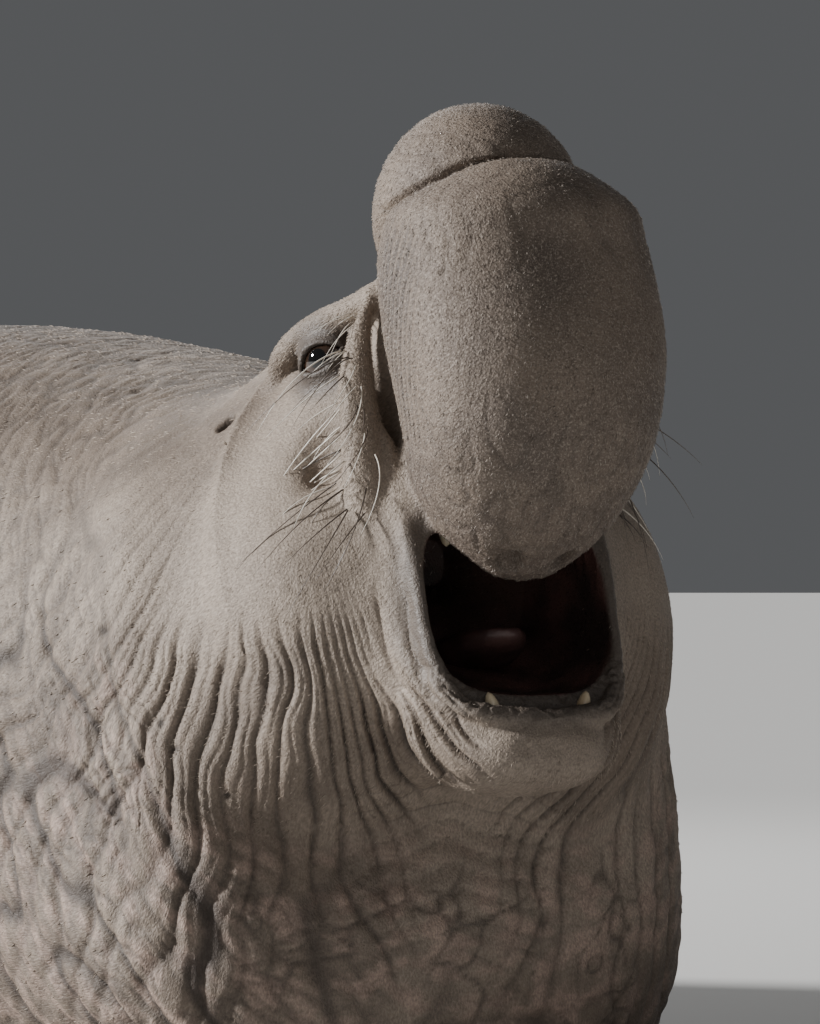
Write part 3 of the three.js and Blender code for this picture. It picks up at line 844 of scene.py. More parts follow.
def pits(p, t, up):
    """Old bites and small wounds on the neck and shoulders: how deep each point lies in one."""
    rng = np.random.default_rng(31)
    open_hide = np.flatnonzero((t > 0.8) & (t < 5.5) & (up > -220) & (p[:, 2] > 120))
    depth = np.zeros(len(p))
    for at in p[rng.choice(open_hide, PIT_COUNT, replace=False)]:
        stretch = np.array([1.0, rng.uniform(0.5, 1.0), rng.uniform(0.4, 1.0)])
        size = rng.uniform(6, 13)
        close = np.flatnonzero((np.abs(p - at) < 4 * size).all(axis=1))
        off = np.linalg.norm((p[close] - at) / stretch, axis=1) / size
        depth[close] = np.maximum(depth[close], np.exp(-(off**2)))
    return depth


def trunk_gap(p):
    """Less than nothing on the flippers and tail, by how far they stand out of the trunk."""
    gap = np.full(len(p), 50.0)
    for zone in (near_fore_flipper(mirrored(p)), p[:, 1] > HIND_FROM_Y):
        chosen = np.flatnonzero(zone)
        gap[chosen] = 12 - trunk_field(p[chosen])
    return gap


LIP_FOLD_DEPTH = 5.0
GUM_DEPTH = 3.2
PALATE_DEPTH = 1.6
GREATEST_DEPTH = 26.0


def carve(p):
    """The finished skin points, the ways out of them, and marks of what each one is."""
    t, across, up, _, _, beyond = trunk_place(p)
    along = body_along(t, beyond)
    q = to_head(p)
    s = mirrored(q)
    depth, fold_shade, shield, bare = folds(p, along, across, up, t, q)
    limb = np.maximum(smoothstep(6, -8, trunk_gap(p)), 0)

    front = q[:, 1] < 140
    qf = q[front]
    off_nose, off_mouth = nose_field(qf), mouth_field(qf)
    ahead = smoothstep(60, 10, qf[:, 1])
    nose, beside_nose, lining, lip, rim = (np.zeros(len(p)) for _ in range(5))
    off_lip = np.full(len(p), 500.0)
    off_lip[front] = off_mouth
    nose[front] = smoothstep(14, -2, off_nose) * ahead
    beside_nose[front] = smoothstep(22, 4, off_nose) * ahead
    lining[front] = smoothstep(3, -1, off_mouth) * (1 - nose[front])
    # The lip and eye-rim marks also darken the colour. This is partly dark wet skin and partly painted shade.
    lip[front] = smoothstep(50, 12, off_mouth) * (qf[:, 2] < 720) * (qf[:, 1] < -60) * (1 - nose[front])
    rim[front] = smoothstep(40, 6, np.linalg.norm(s[front] - EYE_AT, axis=1) - EYE_RADIUS)
    for part in (limb, nose, lining, rim):
        depth *= 1 - part
        fold_shade *= 1 - part

    creases = nose_creases(q) * beside_nose
    wounds = pits(p, t, up) * (1 - nose) * (1 - lining) * (1 - bare)
    ears = ear_holes(s)
    depth += creases + PIT_DEPTH * wounds + EAR_DEPTH * ears
    # Painted shade: the pits and ear holes are darkened along with the folds.
    fold_shade = np.clip(np.max([fold_shade, creases / 4, wounds, ears], axis=0), 0, 1)

    beside_lip = smoothstep(8, 20, off_lip) * (1 - smoothstep(40, 66, off_lip))
    beside_lip *= smoothstep(60, 95, s[:, 0])
    beside_lip *= smoothstep(640, 590, q[:, 2]) * smoothstep(-120, -160, q[:, 1])
    depth += LIP_FOLD_DEPTH * beside_lip * (1 - ridge(off_lip / 23 + 0.25 * noise(q / 60.0), 0.6))
    gum = lip * smoothstep(560, 520, q[:, 2]) * (1 - lining)
    depth += GUM_DEPTH * gum * (np.abs(noise(q / 13.0 + 6.0)) * 2 - 0.6)
    depth += 0.5 * nose * (noise(q / 5.0) * 0.5 + noise(q / 12.0 + 4.0) * 0.7)
    depth += (1 - nose) * (1 - lining) * (1 - rim) * 0.7 * noise(p / 19.0)
    palate = lining * ridge(q[:, 1] / 19 + 0.2 * noise(q / 40.0), 0.6) * smoothstep(-20, 40, q[:, 2] - 620)
    depth += PALATE_DEPTH * palate

    direction, _ = outward(p, skin_field)
    p = p - direction * np.clip(depth, -2.5, GREATEST_DEPTH)[:, None]
    p[:, 2] = np.maximum(p[:, 2], 0)
    coat = np.stack([along, across, up], axis=1) * MM
    marks = {
        "fold_shade": fold_shade, "nose": nose, "lining": lining, "lip": lip, "limb": limb, "shield": shield,
        "rim": rim, "bare": bare, "coat": coat,
    }
    return p, direction, marks


FLESH = (
    "head", "proboscis", "lower_jaw", "neck", "chest", "torso", "hindquarters", "tail",
    "fore_flipper_left", "fore_flipper_right", "hind_flipper_left", "hind_flipper_right",
)


def add_skin():
    points, quads = skin_mesh()
    points = settle(points, 1)
    mesh = bpy.data.meshes.new("skin")
    mesh.from_pydata(points.tolist(), [], quads.tolist())
    divide(mesh, lambda p: p[:, 1] < FINE_UP_TO_Y)
    divide(mesh, near_head)
    divide(mesh, near_eyes)
    points = coordinates(mesh)
    points = settle(points, 1)
    points, normals, marks = carve(points)
    mesh.vertices.foreach_set("co", ((points + SHIFT) * MM).ravel())
    mesh.polygons.foreach_set("use_smooth", np.ones(len(mesh.polygons), bool))
    for name, values in marks.items():
        store(mesh, name, values)
    mesh.update()
    skin = link("skin", mesh)
    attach(skin, "root")
    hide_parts(*FLESH)
    return skin, points, normals, marks


skin, SKIN_POINTS, SKIN_NORMALS, MARKS = add_skin()


class Look:
    """A material built from nodes, in as few words as its nodes allow."""

    def __init__(self, name):
        self.material = bpy.data.materials.new(name)
        self.material.use_nodes = True
        self.tree = self.material.node_tree
        self.shader = self.tree.nodes["Principled BSDF"]

    def node(self, kind, inputs=None, **settings):
        made = self.tree.nodes.new(kind)
        for name, value in settings.items():
            setattr(made, name, value)
        for socket, value in (inputs or {}).items():
            self.join(value, made.inputs[socket])
        return made.outputs[0] if kind != "ShaderNodeMix" else made.outputs[2]

    def join(self, value, socket):
        if isinstance(value, bpy.types.NodeSocket):
            self.tree.links.new(value, socket)
        else:
            socket.default_value = value

    def finish(self, inputs):
        """Joins the shader's inputs and returns the material."""
        for socket, value in inputs.items():
            self.join(value, self.shader.inputs[socket])
        return self.material

    def mark(self, name):
        made = self.tree.nodes.new("ShaderNodeAttribute")
        made.attribute_name = name
        return made.outputs["Vector" if name == "coat" else "Fac"]

    def place(self, stretch=(1, 1, 1), of=None):
        source = of or self.tree.nodes.new("ShaderNodeTexCoord").outputs["Object"]
        return self.node("ShaderNodeMapping", {0: source, 3: stretch})

    def grain(self, scale, stretch=(1, 1, 1), detail=3.0, of=None):
        inputs = {"Vector": self.place(stretch, of), "Scale": scale, "Detail": detail}
        return self.node("ShaderNodeTexNoise", inputs)

    def cracks(self, scale, stretch=(1, 1, 1), of=None):
        inputs = {"Vector": self.place(stretch, of), "Scale": scale}
        return self.node("ShaderNodeTexVoronoi", inputs, feature="DISTANCE_TO_EDGE")

    def span(self, value, low, high, out_low=0.0, out_high=1.0):
        return self.node("ShaderNodeMapRange", {0: value, 1: low, 2: high, 3: out_low, 4: out_high})

    def math(self, way, a, b=0.0):
        return self.node("ShaderNodeMath", {0: a, 1: b}, operation=way)

    def mix(self, share, a, b, blend="MIX"):
        return self.node("ShaderNodeMix", {0: share, 6: a, 7: b}, data_type="RGBA", blend_type=blend)

    def tint(self, color, share, amount, tone):
        """Mixes a tone into a color, where the share says, up to an amount."""
        return self.mix(self.math("MULTIPLY", share, amount), color, tone)

    def bump(self, height, strength, distance, under=None):
        inputs = {"Height": height, "Strength": strength, "Distance": distance}
        if under is not None:
            inputs["Normal"] = under
        return self.node("ShaderNodeBump", inputs)


DARK_HIDE = (0.082, 0.062, 0.048, 1)
MID_HIDE = (0.185, 0.142, 0.108, 1)
PALE_HIDE = (0.36, 0.295, 0.235, 1)
SCARRED_HIDE = (0.40, 0.29, 0.235, 1)
# Painted shade laid into the folds, cracks, pits and ear holes.
FOLD_SHADE_DARK = (0.035, 0.026, 0.021, 1)
NOSE_DARK = (0.105, 0.08, 0.064, 1)
NOSE_PALE = (0.33, 0.275, 0.225, 1)
# Dark wet bare skin for the mouth's corners and the eye rims. It is partly their own colour and partly
# painted shade from the nose and the deep sockets.
WET_SKIN_AND_SHADE = (0.03, 0.023, 0.02, 1)
LINING_DARK = (0.022, 0.012, 0.011, 1)
LINING_PINK = (0.11, 0.05, 0.044, 1)
TUFT_PALE = (0.46, 0.39, 0.32, 1)
BRISTLE_PALE = (0.52, 0.46, 0.40, 1)
PUPIL = (0.002, 0.002, 0.002, 1)
IRIS_DARK = (0.012, 0.007, 0.005, 1)
IRIS_PALE = (0.05, 0.028, 0.017, 1)
EYE_WHITE = (0.03, 0.018, 0.015, 1)
ENAMEL = (0.62, 0.52, 0.36, 1)
ENAMEL_STAIN = (0.36, 0.25, 0.14, 1)
ENAMEL_ROOT = (0.17, 0.10, 0.06, 1)
TONGUE_DARK = (0.03, 0.015, 0.014, 1)
TONGUE_PINK = (0.085, 0.042, 0.037, 1)
TONGUE_SPOTS = (0.05, 0.025, 0.022, 1)
CLAW_DARK = (0.035, 0.027, 0.022, 1)
CLAW_PALE = (0.15, 0.115, 0.085, 1)
HAIR_DARK = ((0.05, 0.038, 0.03, 1), (0.16, 0.125, 0.10, 1))
HAIR_PALE = ((0.55, 0.50, 0.43, 1), (0.70, 0.66, 0.58, 1))


def hide_look():
    look = Look("hide")
    coat = look.mark("coat")
    large = look.span(look.grain(2.6, detail=4.0), 0.38, 0.64)
    patches = look.span(look.grain(13.0, (0.6, 1, 1), detail=5.0, of=coat), 0.42, 0.68)
    color = look.mix(large, MID_HIDE, PALE_HIDE)
    color = look.tint(color, patches, 0.55, DARK_HIDE)
    color = look.tint(color, look.mark("bare"), 0.6, PALE_HIDE)
    scars = look.span(look.grain(30.0, (1.6, 0.7, 0.7), detail=6.0, of=coat), 0.46, 0.62)
    shield = look.math("MULTIPLY", look.mark("shield"), look.math("MULTIPLY", scars, 0.75))
    color = look.mix(shield, color, SCARRED_HIDE)
    specks = look.span(look.grain(430.0, detail=2.0), 0.52, 0.64)
    nose_color = look.mix(look.span(look.grain(9.0, detail=5.0), 0.36, 0.66), NOSE_DARK, MID_HIDE)
    nose_color = look.tint(nose_color, specks, 0.75, NOSE_PALE)
    color = look.mix(look.mark("nose"), color, nose_color)
    color = look.tint(color, look.mark("limb"), 0.65, DARK_HIDE)
    fur = look.grain(420.0, (0.3, 1, 1), detail=4.0, of=coat)
    color = look.mix(look.span(fur, 0.35, 0.68, 0.5, 0.0), color, DARK_HIDE)
    # Painted shade: the hide is darkened in its folds, cracks, pits and ear holes.
    color = look.tint(color, look.span(look.mark("fold_shade"), 0.05, 0.9), 0.85, FOLD_SHADE_DARK)
    lip, rim, lining = look.mark("lip"), look.mark("rim"), look.mark("lining")
    # The mouth's corners and the eye rims get dark wet skin. This is partly their own colour and partly
    # painted shade: the shade under the nose and in the deep eye sockets.
    color = look.tint(color, lip, 0.72, WET_SKIN_AND_SHADE)
    color = look.tint(color, rim, 0.8, WET_SKIN_AND_SHADE)
    veins = look.mix(look.span(look.grain(16.0, detail=6.0), 0.38, 0.66), LINING_DARK, LINING_PINK)
    color = look.mix(lining, color, veins)
    damp = look.math("MAXIMUM", lining, look.math("MULTIPLY", look.math("MAXIMUM", rim, lip), 0.4))
    dry = look.span(fur, 0.3, 0.7, 0.74, 0.56)
    pores = look.grain(1150.0, (0.35, 1, 1), detail=3.0, of=coat)
    grit = look.cracks(210.0, (0.8, 1, 1), of=coat)
    relief = look.bump(fur, 0.6, 0.0022)
    relief = look.bump(pores, 0.5, 0.0008, relief)
    return look.finish({
        "Base Color": color,
        "Roughness": look.math("SUBTRACT", dry, look.math("MULTIPLY", damp, 0.38)),
        "Specular IOR Level": 0.42,
        "Normal": look.bump(look.span(grit, 0.0, 0.22), 0.3, 0.0008, relief),
    })


skin.data.materials.append(hide_look())


UNWRAP_FROM, UNWRAP_LENGTH = -700.0, 5200.0
UNWRAP_MARGIN = 0.02


def unwrapped(p):
    """Places on an unwrap of the skin's own shape: along the body, and round it."""
    t, across, up, _, _, beyond = trunk_place(p)
    used = 1 - 2 * UNWRAP_MARGIN
    u = UNWRAP_MARGIN + used * np.clip((body_along(t, beyond) - UNWRAP_FROM) / UNWRAP_LENGTH, 0, 1)
    v = 0.5 + 0.5 * used * np.arctan2(across, up) / math.pi
    return np.stack([u, v], axis=1)


def add_piece(name, points, faces, look, replaced=(), marks=None):
    mesh = bpy.data.meshes.new(name)
    mesh.from_pydata(((np.asarray(points) + SHIFT) * MM).tolist(), [], faces)
    mesh.polygons.foreach_set("use_smooth", np.ones(len(mesh.polygons), bool))
    for mark, values in (marks or {}).items():
        store(mesh, mark, np.asarray(values, float))
    mesh.materials.append(look)
    mesh.update()
    piece = link(name, mesh)
    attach(piece, "root")
    if replaced:
        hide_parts(*replaced)
    return piece


# Tufts are thin three-sided spikes that bend over and lie along the body: a ring of points at the root,
# a ring half way and the tip. Each one has a small patch of the unwrap at its root's place.
TUFT_RING = np.array([[0.0, 1.0], [-0.9, -0.5], [0.9, -0.5]])
TUFT_POINTS = 7
TUFT_UNWRAP = np.array([[0, 0], [1, 0], [0, 1], [0.2, 0.3], [0.8, 0.3], [0.3, 0.8], [1, 1]])
TUFT_PATCH = 0.003
TUFT_MARKS = ("nose", "shield", "fold_shade", "rim", "limb")


def tuft_faces():
    faces = [(0, 1, 2)]
    for a, b in ((0, 1), (1, 2), (2, 0)):
        faces += [(b, a, a + 3), (b, a + 3, b + 3), (b + 3, a + 3, 6)]
    return np.array(faces)


def tuft_points(chosen, length, width, lift, rng):
    count = len(chosen)
    root = SKIN_POINTS[chosen] + rng.normal(scale=1.6, size=(count, 3))
    normal = SKIN_NORMALS[chosen]
    root -= normal * ((root - SKIN_POINTS[chosen]) * normal).sum(1)[:, None]
    lie = backward(SKIN_POINTS[chosen]) + rng.normal(scale=0.22, size=(count, 3))
    lie -= normal * (lie * normal).sum(1)[:, None]
    lie /= np.maximum(np.linalg.norm(lie, axis=1), 1e-6)[:, None]
    side = np.cross(lie, normal)
    long = length * rng.uniform(0.6, 1.35, count)[:, None]
    wide = width * rng.uniform(0.7, 1.3, count)[:, None]
    rise = lift * rng.uniform(0.5, 1.5, count)[:, None]
    points = np.empty((count, TUFT_POINTS, 3))
    middle = root + lie * long * 0.5 + normal * long * rise * 0.8
    for k, (a, b) in enumerate(TUFT_RING):
        points[:, k] = root + side * a * wide / 2 + normal * (b * wide * 0.4 - 1.0)
        points[:, 3 + k] = middle + side * a * wide * 0.36 + normal * b * wide * 0.25
    points[:, 6] = root + lie * long + normal * long * rise
    points[:, :, 2] = np.maximum(points[:, :, 2], FLOOR_CLEARANCE)
    return points


def add_tufts(name, weight, count, length, width, lift, look, seed):
    """Tufts on random points of the skin, as many to an area as the weight says."""
    rng = np.random.default_rng(seed)
    chosen = rng.choice(len(SKIN_POINTS), count, p=weight / weight.sum())
    points = tuft_points(chosen, length, width, lift, rng)
    faces = (tuft_faces()[None] + TUFT_POINTS * np.arange(count)[:, None, None]).reshape(-1, 3)
    marks = {mark: np.repeat(MARKS[mark][chosen], TUFT_POINTS) for mark in TUFT_MARKS}
    marks["tip"] = np.tile([0, 0, 0, 0.6, 0.6, 0.6, 1.0], count)
    marks["shade"] = np.repeat(rng.uniform(0, 1, count), TUFT_POINTS)
    mesh = add_piece(name, points.reshape(-1, 3), faces.tolist(), look, marks=marks).data
    uv = mesh.uv_layers.new(name="OFBake")
    place = unwrapped(SKIN_POINTS[chosen])[:, None] + TUFT_UNWRAP[None] * TUFT_PATCH
    corner = np.empty(len(mesh.loops), np.int32)
    mesh.loops.foreach_get("vertex_index", corner)
    uv.data.foreach_set("uv", place.reshape(-1, 2)[corner].astype(np.float32).ravel())


def tuft_look(name, root, tip, pale):
    look = Look(name)
    color = look.mix(look.mark("tip"), root, tip)
    color = look.mix(look.span(look.mark("shade"), 0.45, 1.0), color, pale)
    broad = look.span(look.grain(9.0, detail=4.0), 0.35, 0.65)
    color = look.tint(color, broad, 0.4, root)
    # Painted shade: tufts growing from the folds are darkened with them.
    color = look.tint(color, look.mark("fold_shade"), 0.7, FOLD_SHADE_DARK)
    return look.finish({"Base Color": color, "Roughness": look.span(look.grain(400.0), 0.3, 0.7, 0.42, 0.6)})


def vertex_areas():
    """A share of the skin's area for each of its points."""
    areas = np.empty(len(skin.data.polygons))
    skin.data.polygons.foreach_get("area", areas)
    loops = np.empty(len(skin.data.loops), np.int32)
    skin.data.loops.foreach_get("vertex_index", loops)
    totals = np.empty(len(skin.data.polygons), np.int32)
    skin.data.polygons.foreach_get("loop_total", totals)
    return np.bincount(loops, np.repeat(areas / totals, totals), len(SKIN_POINTS))


AREAS = vertex_areas()


def backward(p):
    """Which way the coat lies: back and down along the body, and down the nose."""
    q = to_head(p)
    lie = np.tile([0.0, 1.0, -0.45], (len(p), 1))
    on_nose = smoothstep(-60, -140, q[:, 1])[:, None]
    down = np.stack([0.25 * np.sign(q[:, 0]), np.full(len(p), 0.35), np.full(len(p), -1.0)], axis=1)
    return lie * (1 - on_nose) + down * on_nose


def add_coat():
    q = to_head(SKIN_POINTS)
    dry = (1 - MARKS["lining"]) * (1 - 0.9 * MARKS["lip"])
    above = smoothstep(6, 40, SKIN_POINTS[:, 2])
    nose_tufts = tuft_look("nose_bristle", NOSE_DARK, MID_HIDE, BRISTLE_PALE)
    body_tufts = tuft_look("coat_tuft", MID_HIDE, PALE_HIDE, TUFT_PALE)
    fur = (1 - MARKS["nose"]) * dry * (1 - 0.8 * MARKS["rim"])
    off_pad = rope(mirrored(q), LIP_PAD)
    for fold in (PAD_FOLD, INNER_FOLD, LOWER_LIP, LIP_FOLD):
        off_pad = np.minimum(off_pad, rope(mirrored(q), fold))
    nose = AREAS * MARKS["nose"] * dry
    head = AREAS * (q[:, 1] < 110) * (SKIN_POINTS[:, 2] > 330) * fur
    fringe = AREAS * smoothstep(9, 1, off_pad) * (1 - MARKS["nose"]) * (1 - MARKS["lining"])
    brow = AREAS * smoothstep(8, 1, rope(mirrored(q), BROW_ROLL))
    neck = AREAS * (SKIN_POINTS[:, 1] < FINE_UP_TO_Y) * (q[:, 1] > 60) * above
    neck *= 1 - 0.85 * MARKS["fold_shade"]
    rear = AREAS * (SKIN_POINTS[:, 1] > FINE_UP_TO_Y - 60) * above
    # Name, where, how many, length, width, rise of the tip for each unit of length, look and seed.
    add_tufts("nose_bristles", nose, 18000, 5.0, 0.9, 0.16, nose_tufts, 41)
    add_tufts("head_tufts", head, 13000, 6.5, 0.9, 0.06, body_tufts, 42)
    add_tufts("lip_tufts", fringe, 6000, 6.5, 0.9, 0.14, body_tufts, 43)
    add_tufts("brow_tufts", brow, 2400, 6.5, 0.9, 0.08, body_tufts, 44)
    add_tufts("neck_tufts", neck, 13000, 9.0, 1.6, 0.05, body_tufts, 45)
    add_tufts("body_tufts", rear, 11000, 13.0, 2.4, 0.04, body_tufts, 46)


add_coat()


def tube_faces(rings, sides, first=0):
    """Four-sided faces between rings of points that follow one another."""
    faces = []
    for k in range(rings - 1):
        for j in range(sides):
            a = first + k * sides + j
            b = first + k * sides + (j + 1) % sides
            faces.append((a, a + sides, b + sides, b))
    return faces


def sweep(path, radii, sides):
    """Points and faces of a round rod along a path."""
    path = np.array(path, float)
    steps = np.gradient(path, axis=0)
    steps /= np.linalg.norm(steps, axis=1)[:, None]
    helper = np.array([0.0, 0.0, 1.0]) if abs(steps[0, 2]) < 0.9 else np.array([1.0, 0.0, 0.0])
    points = []
    side = np.cross(steps[0], helper)
    for k, at in enumerate(path):
        side = side - steps[k] * (side @ steps[k])
        side /= np.linalg.norm(side)
        up = np.cross(side, steps[k])
        for j in range(sides):
            angle = 2 * math.pi * j / sides
            points.append(at + radii[k] * (side * math.cos(angle) + up * math.sin(angle)))
    faces = tube_faces(len(path), sides)
    faces.append(tuple(range(sides)))
    faces.append(tuple(range(len(points) - 1, len(points) - 1 - sides, -1)))
    return np.array(points), faces


def both_sides(q):
    """The same head-frame points on the left and on the right."""
    return (("left", q), ("right", q * (-1, 1, 1)))


def eye_look():
    look = Look("eye")
    off = look.mark("from_middle")
    rays = look.grain(60.0, detail=6.0)
    iris = look.mix(look.span(rays, 0.35, 0.7), IRIS_DARK, IRIS_PALE)
    color = look.mix(look.span(off, 0.36, 0.40), PUPIL, iris)
    color = look.mix(look.span(off, 0.74, 0.86), color, EYE_WHITE)
    return look.finish({
        "Base Color": color,
        "Roughness": look.span(rays, 0.3, 0.7, 0.03, 0.07),
        "Coat Weight": 1.0,
        "Coat Roughness": 0.02,
        "Normal": look.bump(look.grain(25.0), 0.08, 0.001),
    })


EYE_RINGS, EYE_SIDES = 40, 56


def add_eyes():
    look = eye_look()
    points = [EYE_OUT * EYE_RADIUS]
    for k in range(1, EYE_RINGS):
        a = math.pi * k / EYE_RINGS
        for j in range(EYE_SIDES):
            b = 2 * math.pi * j / EYE_SIDES
            round_about = EYE_ALONG * math.cos(b) + EYE_ACROSS * math.sin(b)
            points.append(EYE_RADIUS * (EYE_OUT * math.cos(a) + math.sin(a) * round_about))
    points.append(-EYE_OUT * EYE_RADIUS)
    points = np.array(points)
    last = len(points) - 1
    faces = [(0, 1 + j, 1 + (j + 1) % EYE_SIDES) for j in range(EYE_SIDES)]
    faces += tube_faces(EYE_RINGS - 1, EYE_SIDES, 1)
    faces += [(last, last - EYE_SIDES + (j + 1) % EYE_SIDES, last - EYE_SIDES + j) for j in range(EYE_SIDES)]
    marks = {"from_middle": np.arccos(np.clip(points @ EYE_OUT / EYE_RADIUS, -1, 1))}
    for side, placed in both_sides(EYE_AT + points):
        order = faces if side == "left" else [f[::-1] for f in faces]
        add_piece("eye_ball_" + side, from_head(placed), order, look, ["eye_" + side], marks)


def tooth_look():
    look = Look("tooth")
    stain = look.span(look.grain(45.0, (1, 1, 0.35), detail=5.0), 0.4, 0.7)
    color = look.mix(stain, ENAMEL, ENAMEL_STAIN)
    color = look.mix(look.span(look.mark("up"), 0.25, 0.62), ENAMEL_ROOT, color)
    return look.finish({
        "Base Color": color,
        "Roughness": look.span(stain, 0.0, 1.0, 0.22, 0.4),
        "Coat Weight": 0.35,
        "Normal": look.bump(look.grain(160.0, (1, 1, 0.25)), 0.25, 0.0006),
    })


# Left canines: root, lean, length out of the gum, radius, and the share of the length by which the tip bends.
TOOTH_SINK = 26.0
TOOTH_STEPS, TOOTH_SIDES = 22, 22
CANINES = {
    "canine_lower": ((52, -262, 470), (0.28, -0.16, 1.0), 38, 11, 0.16),
    "canine_upper": ((56, -140, 716), (0.12, -0.10, -1.0), 46, 13, -0.12),
}


def add_teeth():
    look = tooth_look()
    for name, (root, lean, length, radius, hook) in CANINES.items():
        root, lean = np.array(root, float), np.array(lean, float)
        lean /= np.linalg.norm(lean)
        f = np.linspace(0, 1, TOOTH_STEPS)
        reach = f * (length + TOOTH_SINK) - TOOTH_SINK
        out = np.maximum(reach / length, 0)
        bow = np.outer(hook * length * out**2, (0.0, 1.0, 0.0))
        path = root + np.outer(reach, lean) + bow
        radii = radius * np.sqrt(np.maximum(1 - out**1.6, 0.004))
        for side, placed in both_sides(path):
            points, faces = sweep(from_head(placed), radii, TOOTH_SIDES)
            marks = {"up": np.repeat(f, TOOTH_SIDES)}
            add_piece(name + "_enamel_" + side, points, faces, look, [name + "_" + side], marks)


def tongue_look():
    look = Look("tongue")
    blotch = look.span(look.grain(22.0, detail=6.0), 0.36, 0.68)
    color = look.mix(blotch, TONGUE_DARK, TONGUE_PINK)
    color = look.mix(look.span(look.grain(110.0), 0.5, 0.7, 0.0, 0.5), color, TONGUE_SPOTS)
    return look.finish({
        "Base Color": color,
        "Roughness": look.span(look.grain(60.0), 0.3, 0.7, 0.34, 0.58),
        "Coat Weight": 0.1,
        "Normal": look.bump(look.grain(420.0), 0.4, 0.001, look.bump(look.grain(70.0), 0.35, 0.002)),
    })


TONGUE_AT = np.array([0.0, -78.0, 546.0])
TONGUE_HALF = np.array([56.0, 112.0, 30.0])
TONGUE_TILT = math.radians(-14)
TONGUE_RINGS, TONGUE_SIDES = 60, 64


def add_tongue():
    points = []
    for k in range(TONGUE_RINGS + 1):
        a = math.pi * k / TONGUE_RINGS
        for j in range(TONGUE_SIDES):
            b = 2 * math.pi * j / TONGUE_SIDES
            points.append((math.sin(a) * math.cos(b), -math.cos(a), math.sin(a) * math.sin(b)))
    unit = np.array(points)
    points = unit * TONGUE_HALF
    on_top = smoothstep(0.1, 0.8, unit[:, 2])
    trough = np.exp(-((points[:, 0] / 16.0) ** 2)) * on_top
    bumps = noise(points / 6.5) * 0.9 + noise(points / 22.0) * 1.6
    points -= unit * (1.6 + np.maximum(bumps, -0.5))[:, None]
    points[:, 2] -= 9.0 * trough + 5.0 * on_top
    c, s = math.cos(TONGUE_TILT), math.sin(TONGUE_TILT)
    y, z = c * points[:, 1] - s * points[:, 2], s * points[:, 1] + c * points[:, 2]
    placed = TONGUE_AT + np.stack([points[:, 0], y, z], axis=1)
    faces = [f[::-1] for f in tube_faces(TONGUE_RINGS + 1, TONGUE_SIDES)]
    add_piece("tongue_flesh", from_head(placed), faces, tongue_look(), ["tongue"])


def claw_look():
    look = Look("claw")
    bands = look.span(look.grain(150.0, (1, 0.3, 1), detail=4.0), 0.38, 0.68)
    color = look.mix(bands, CLAW_DARK, CLAW_PALE)
    return look.finish({
        "Base Color": color,
        "Roughness": look.span(bands, 0.0, 1.0, 0.32, 0.5),
        "Normal": look.bump(bands, 0.3, 0.0008),
    })


NAIL_LENGTH = 46.0
NAIL_RADIUS = 9.0
NAIL_STEPS, NAIL_SIDES = 14, 14


def add_claws():
    look = claw_look()
    for number, (start, end, _) in enumerate(FORE_DIGITS):
        along = (end - start) / np.linalg.norm(end - start)
        root = end - along * 0.7 * NAIL_LENGTH + (0, 0, FORE_TIP_HALF[1] - 1)
        tip = end + along * 0.42 * NAIL_LENGTH
        tip[2] = end[2] + 1
        f = np.linspace(0, 1, NAIL_STEPS)[:, None]
        path = root + (tip - root) * f + np.array([0, 0, 6.0]) * (f * (1 - f)) * 2
        radii = NAIL_RADIUS * np.sqrt(np.maximum(1 - f[:, 0] ** 2.2, 0.01))
        for side, mirror in (("left", 1), ("right", -1)):
            placed = path * (mirror, 1, 1)
            points, faces = sweep(placed, radii, NAIL_SIDES)
            points[:, 2] = np.maximum(points[:, 2], FLOOR_CLEARANCE)
            add_piece("claw_%s_%d" % (side, number + 1), points, faces, look)


def hair_look(name, root, tip):
    look = Look(name)
    bands = look.grain(60.0, detail=3.0)
    color = look.mix(look.mark("tip"), root, tip)
    return look.finish({
        "Base Color": look.mix(look.span(bands, 0.3, 0.7, 0.0, 0.4), color, root),
        "Roughness": look.span(bands, 0.3, 0.7, 0.25, 0.4),
    })


WHISKER_SIDES = 6
WHISKER_STEPS = 14


def hair_strands(name, strands, radius, look, rng):
    """Tapering hairs that leave their roots one way and bend towards another."""
    points, faces, tips = [], [], []
    for root, start, end, length in zip(*strands):
        f = np.linspace(0, 1, WHISKER_STEPS)[:, None]
        heading = start * (1 - f) + end * f + rng.normal(scale=0.04, size=3)
        heading /= np.linalg.norm(heading, axis=1)[:, None]
        path = root + np.cumsum(heading, axis=0) * length / WHISKER_STEPS
        radii = radius * (1 - 0.88 * f[:, 0] ** 1.4)
        ring_points, ring_faces = sweep(path, radii, WHISKER_SIDES)
        faces += [tuple(i + len(points) for i in face) for face in ring_faces]
        points += ring_points.tolist()
        tips += np.repeat(f[:, 0], WHISKER_SIDES).tolist()
    add_piece(name, from_head(np.array(points)), faces, look, marks={"tip": tips})


def nearest_skin(q):
    """Skin points closest to some head-frame places, with their outward directions in the head's frame."""
    head_points = to_head(SKIN_POINTS)
    c, s = math.cos(-HEAD_YAW), math.sin(-HEAD_YAW)
    roots, ways = [], []
    for at in q:
        k = np.argmin(((head_points - at) ** 2).sum(1))
        n = SKIN_NORMALS[k]
        roots.append(head_points[k])
        ways.append((c * n[0] - s * n[1], s * n[0] + c * n[1], n[2]))
    return np.array(roots), np.array(ways)


PAD_ROWS, PAD_COLUMNS = 7, 5
PALE_SHARE = 0.45
# Left whiskers and hairs of the brow: the way they set off, the way they end, shortest and longest, radius.
WHISKERS = (np.array([0.15, 0.05, -0.55]), np.array([0.42, 0.62, -0.95]), (55, 185), 0.95)
BROW_STRANDS = (np.array([0.8, -0.45, 0.1]), np.array([0.62, 0.45, -0.9]), (45, 85), 0.8)
HAIR_ROOT_DEPTH = 2.0
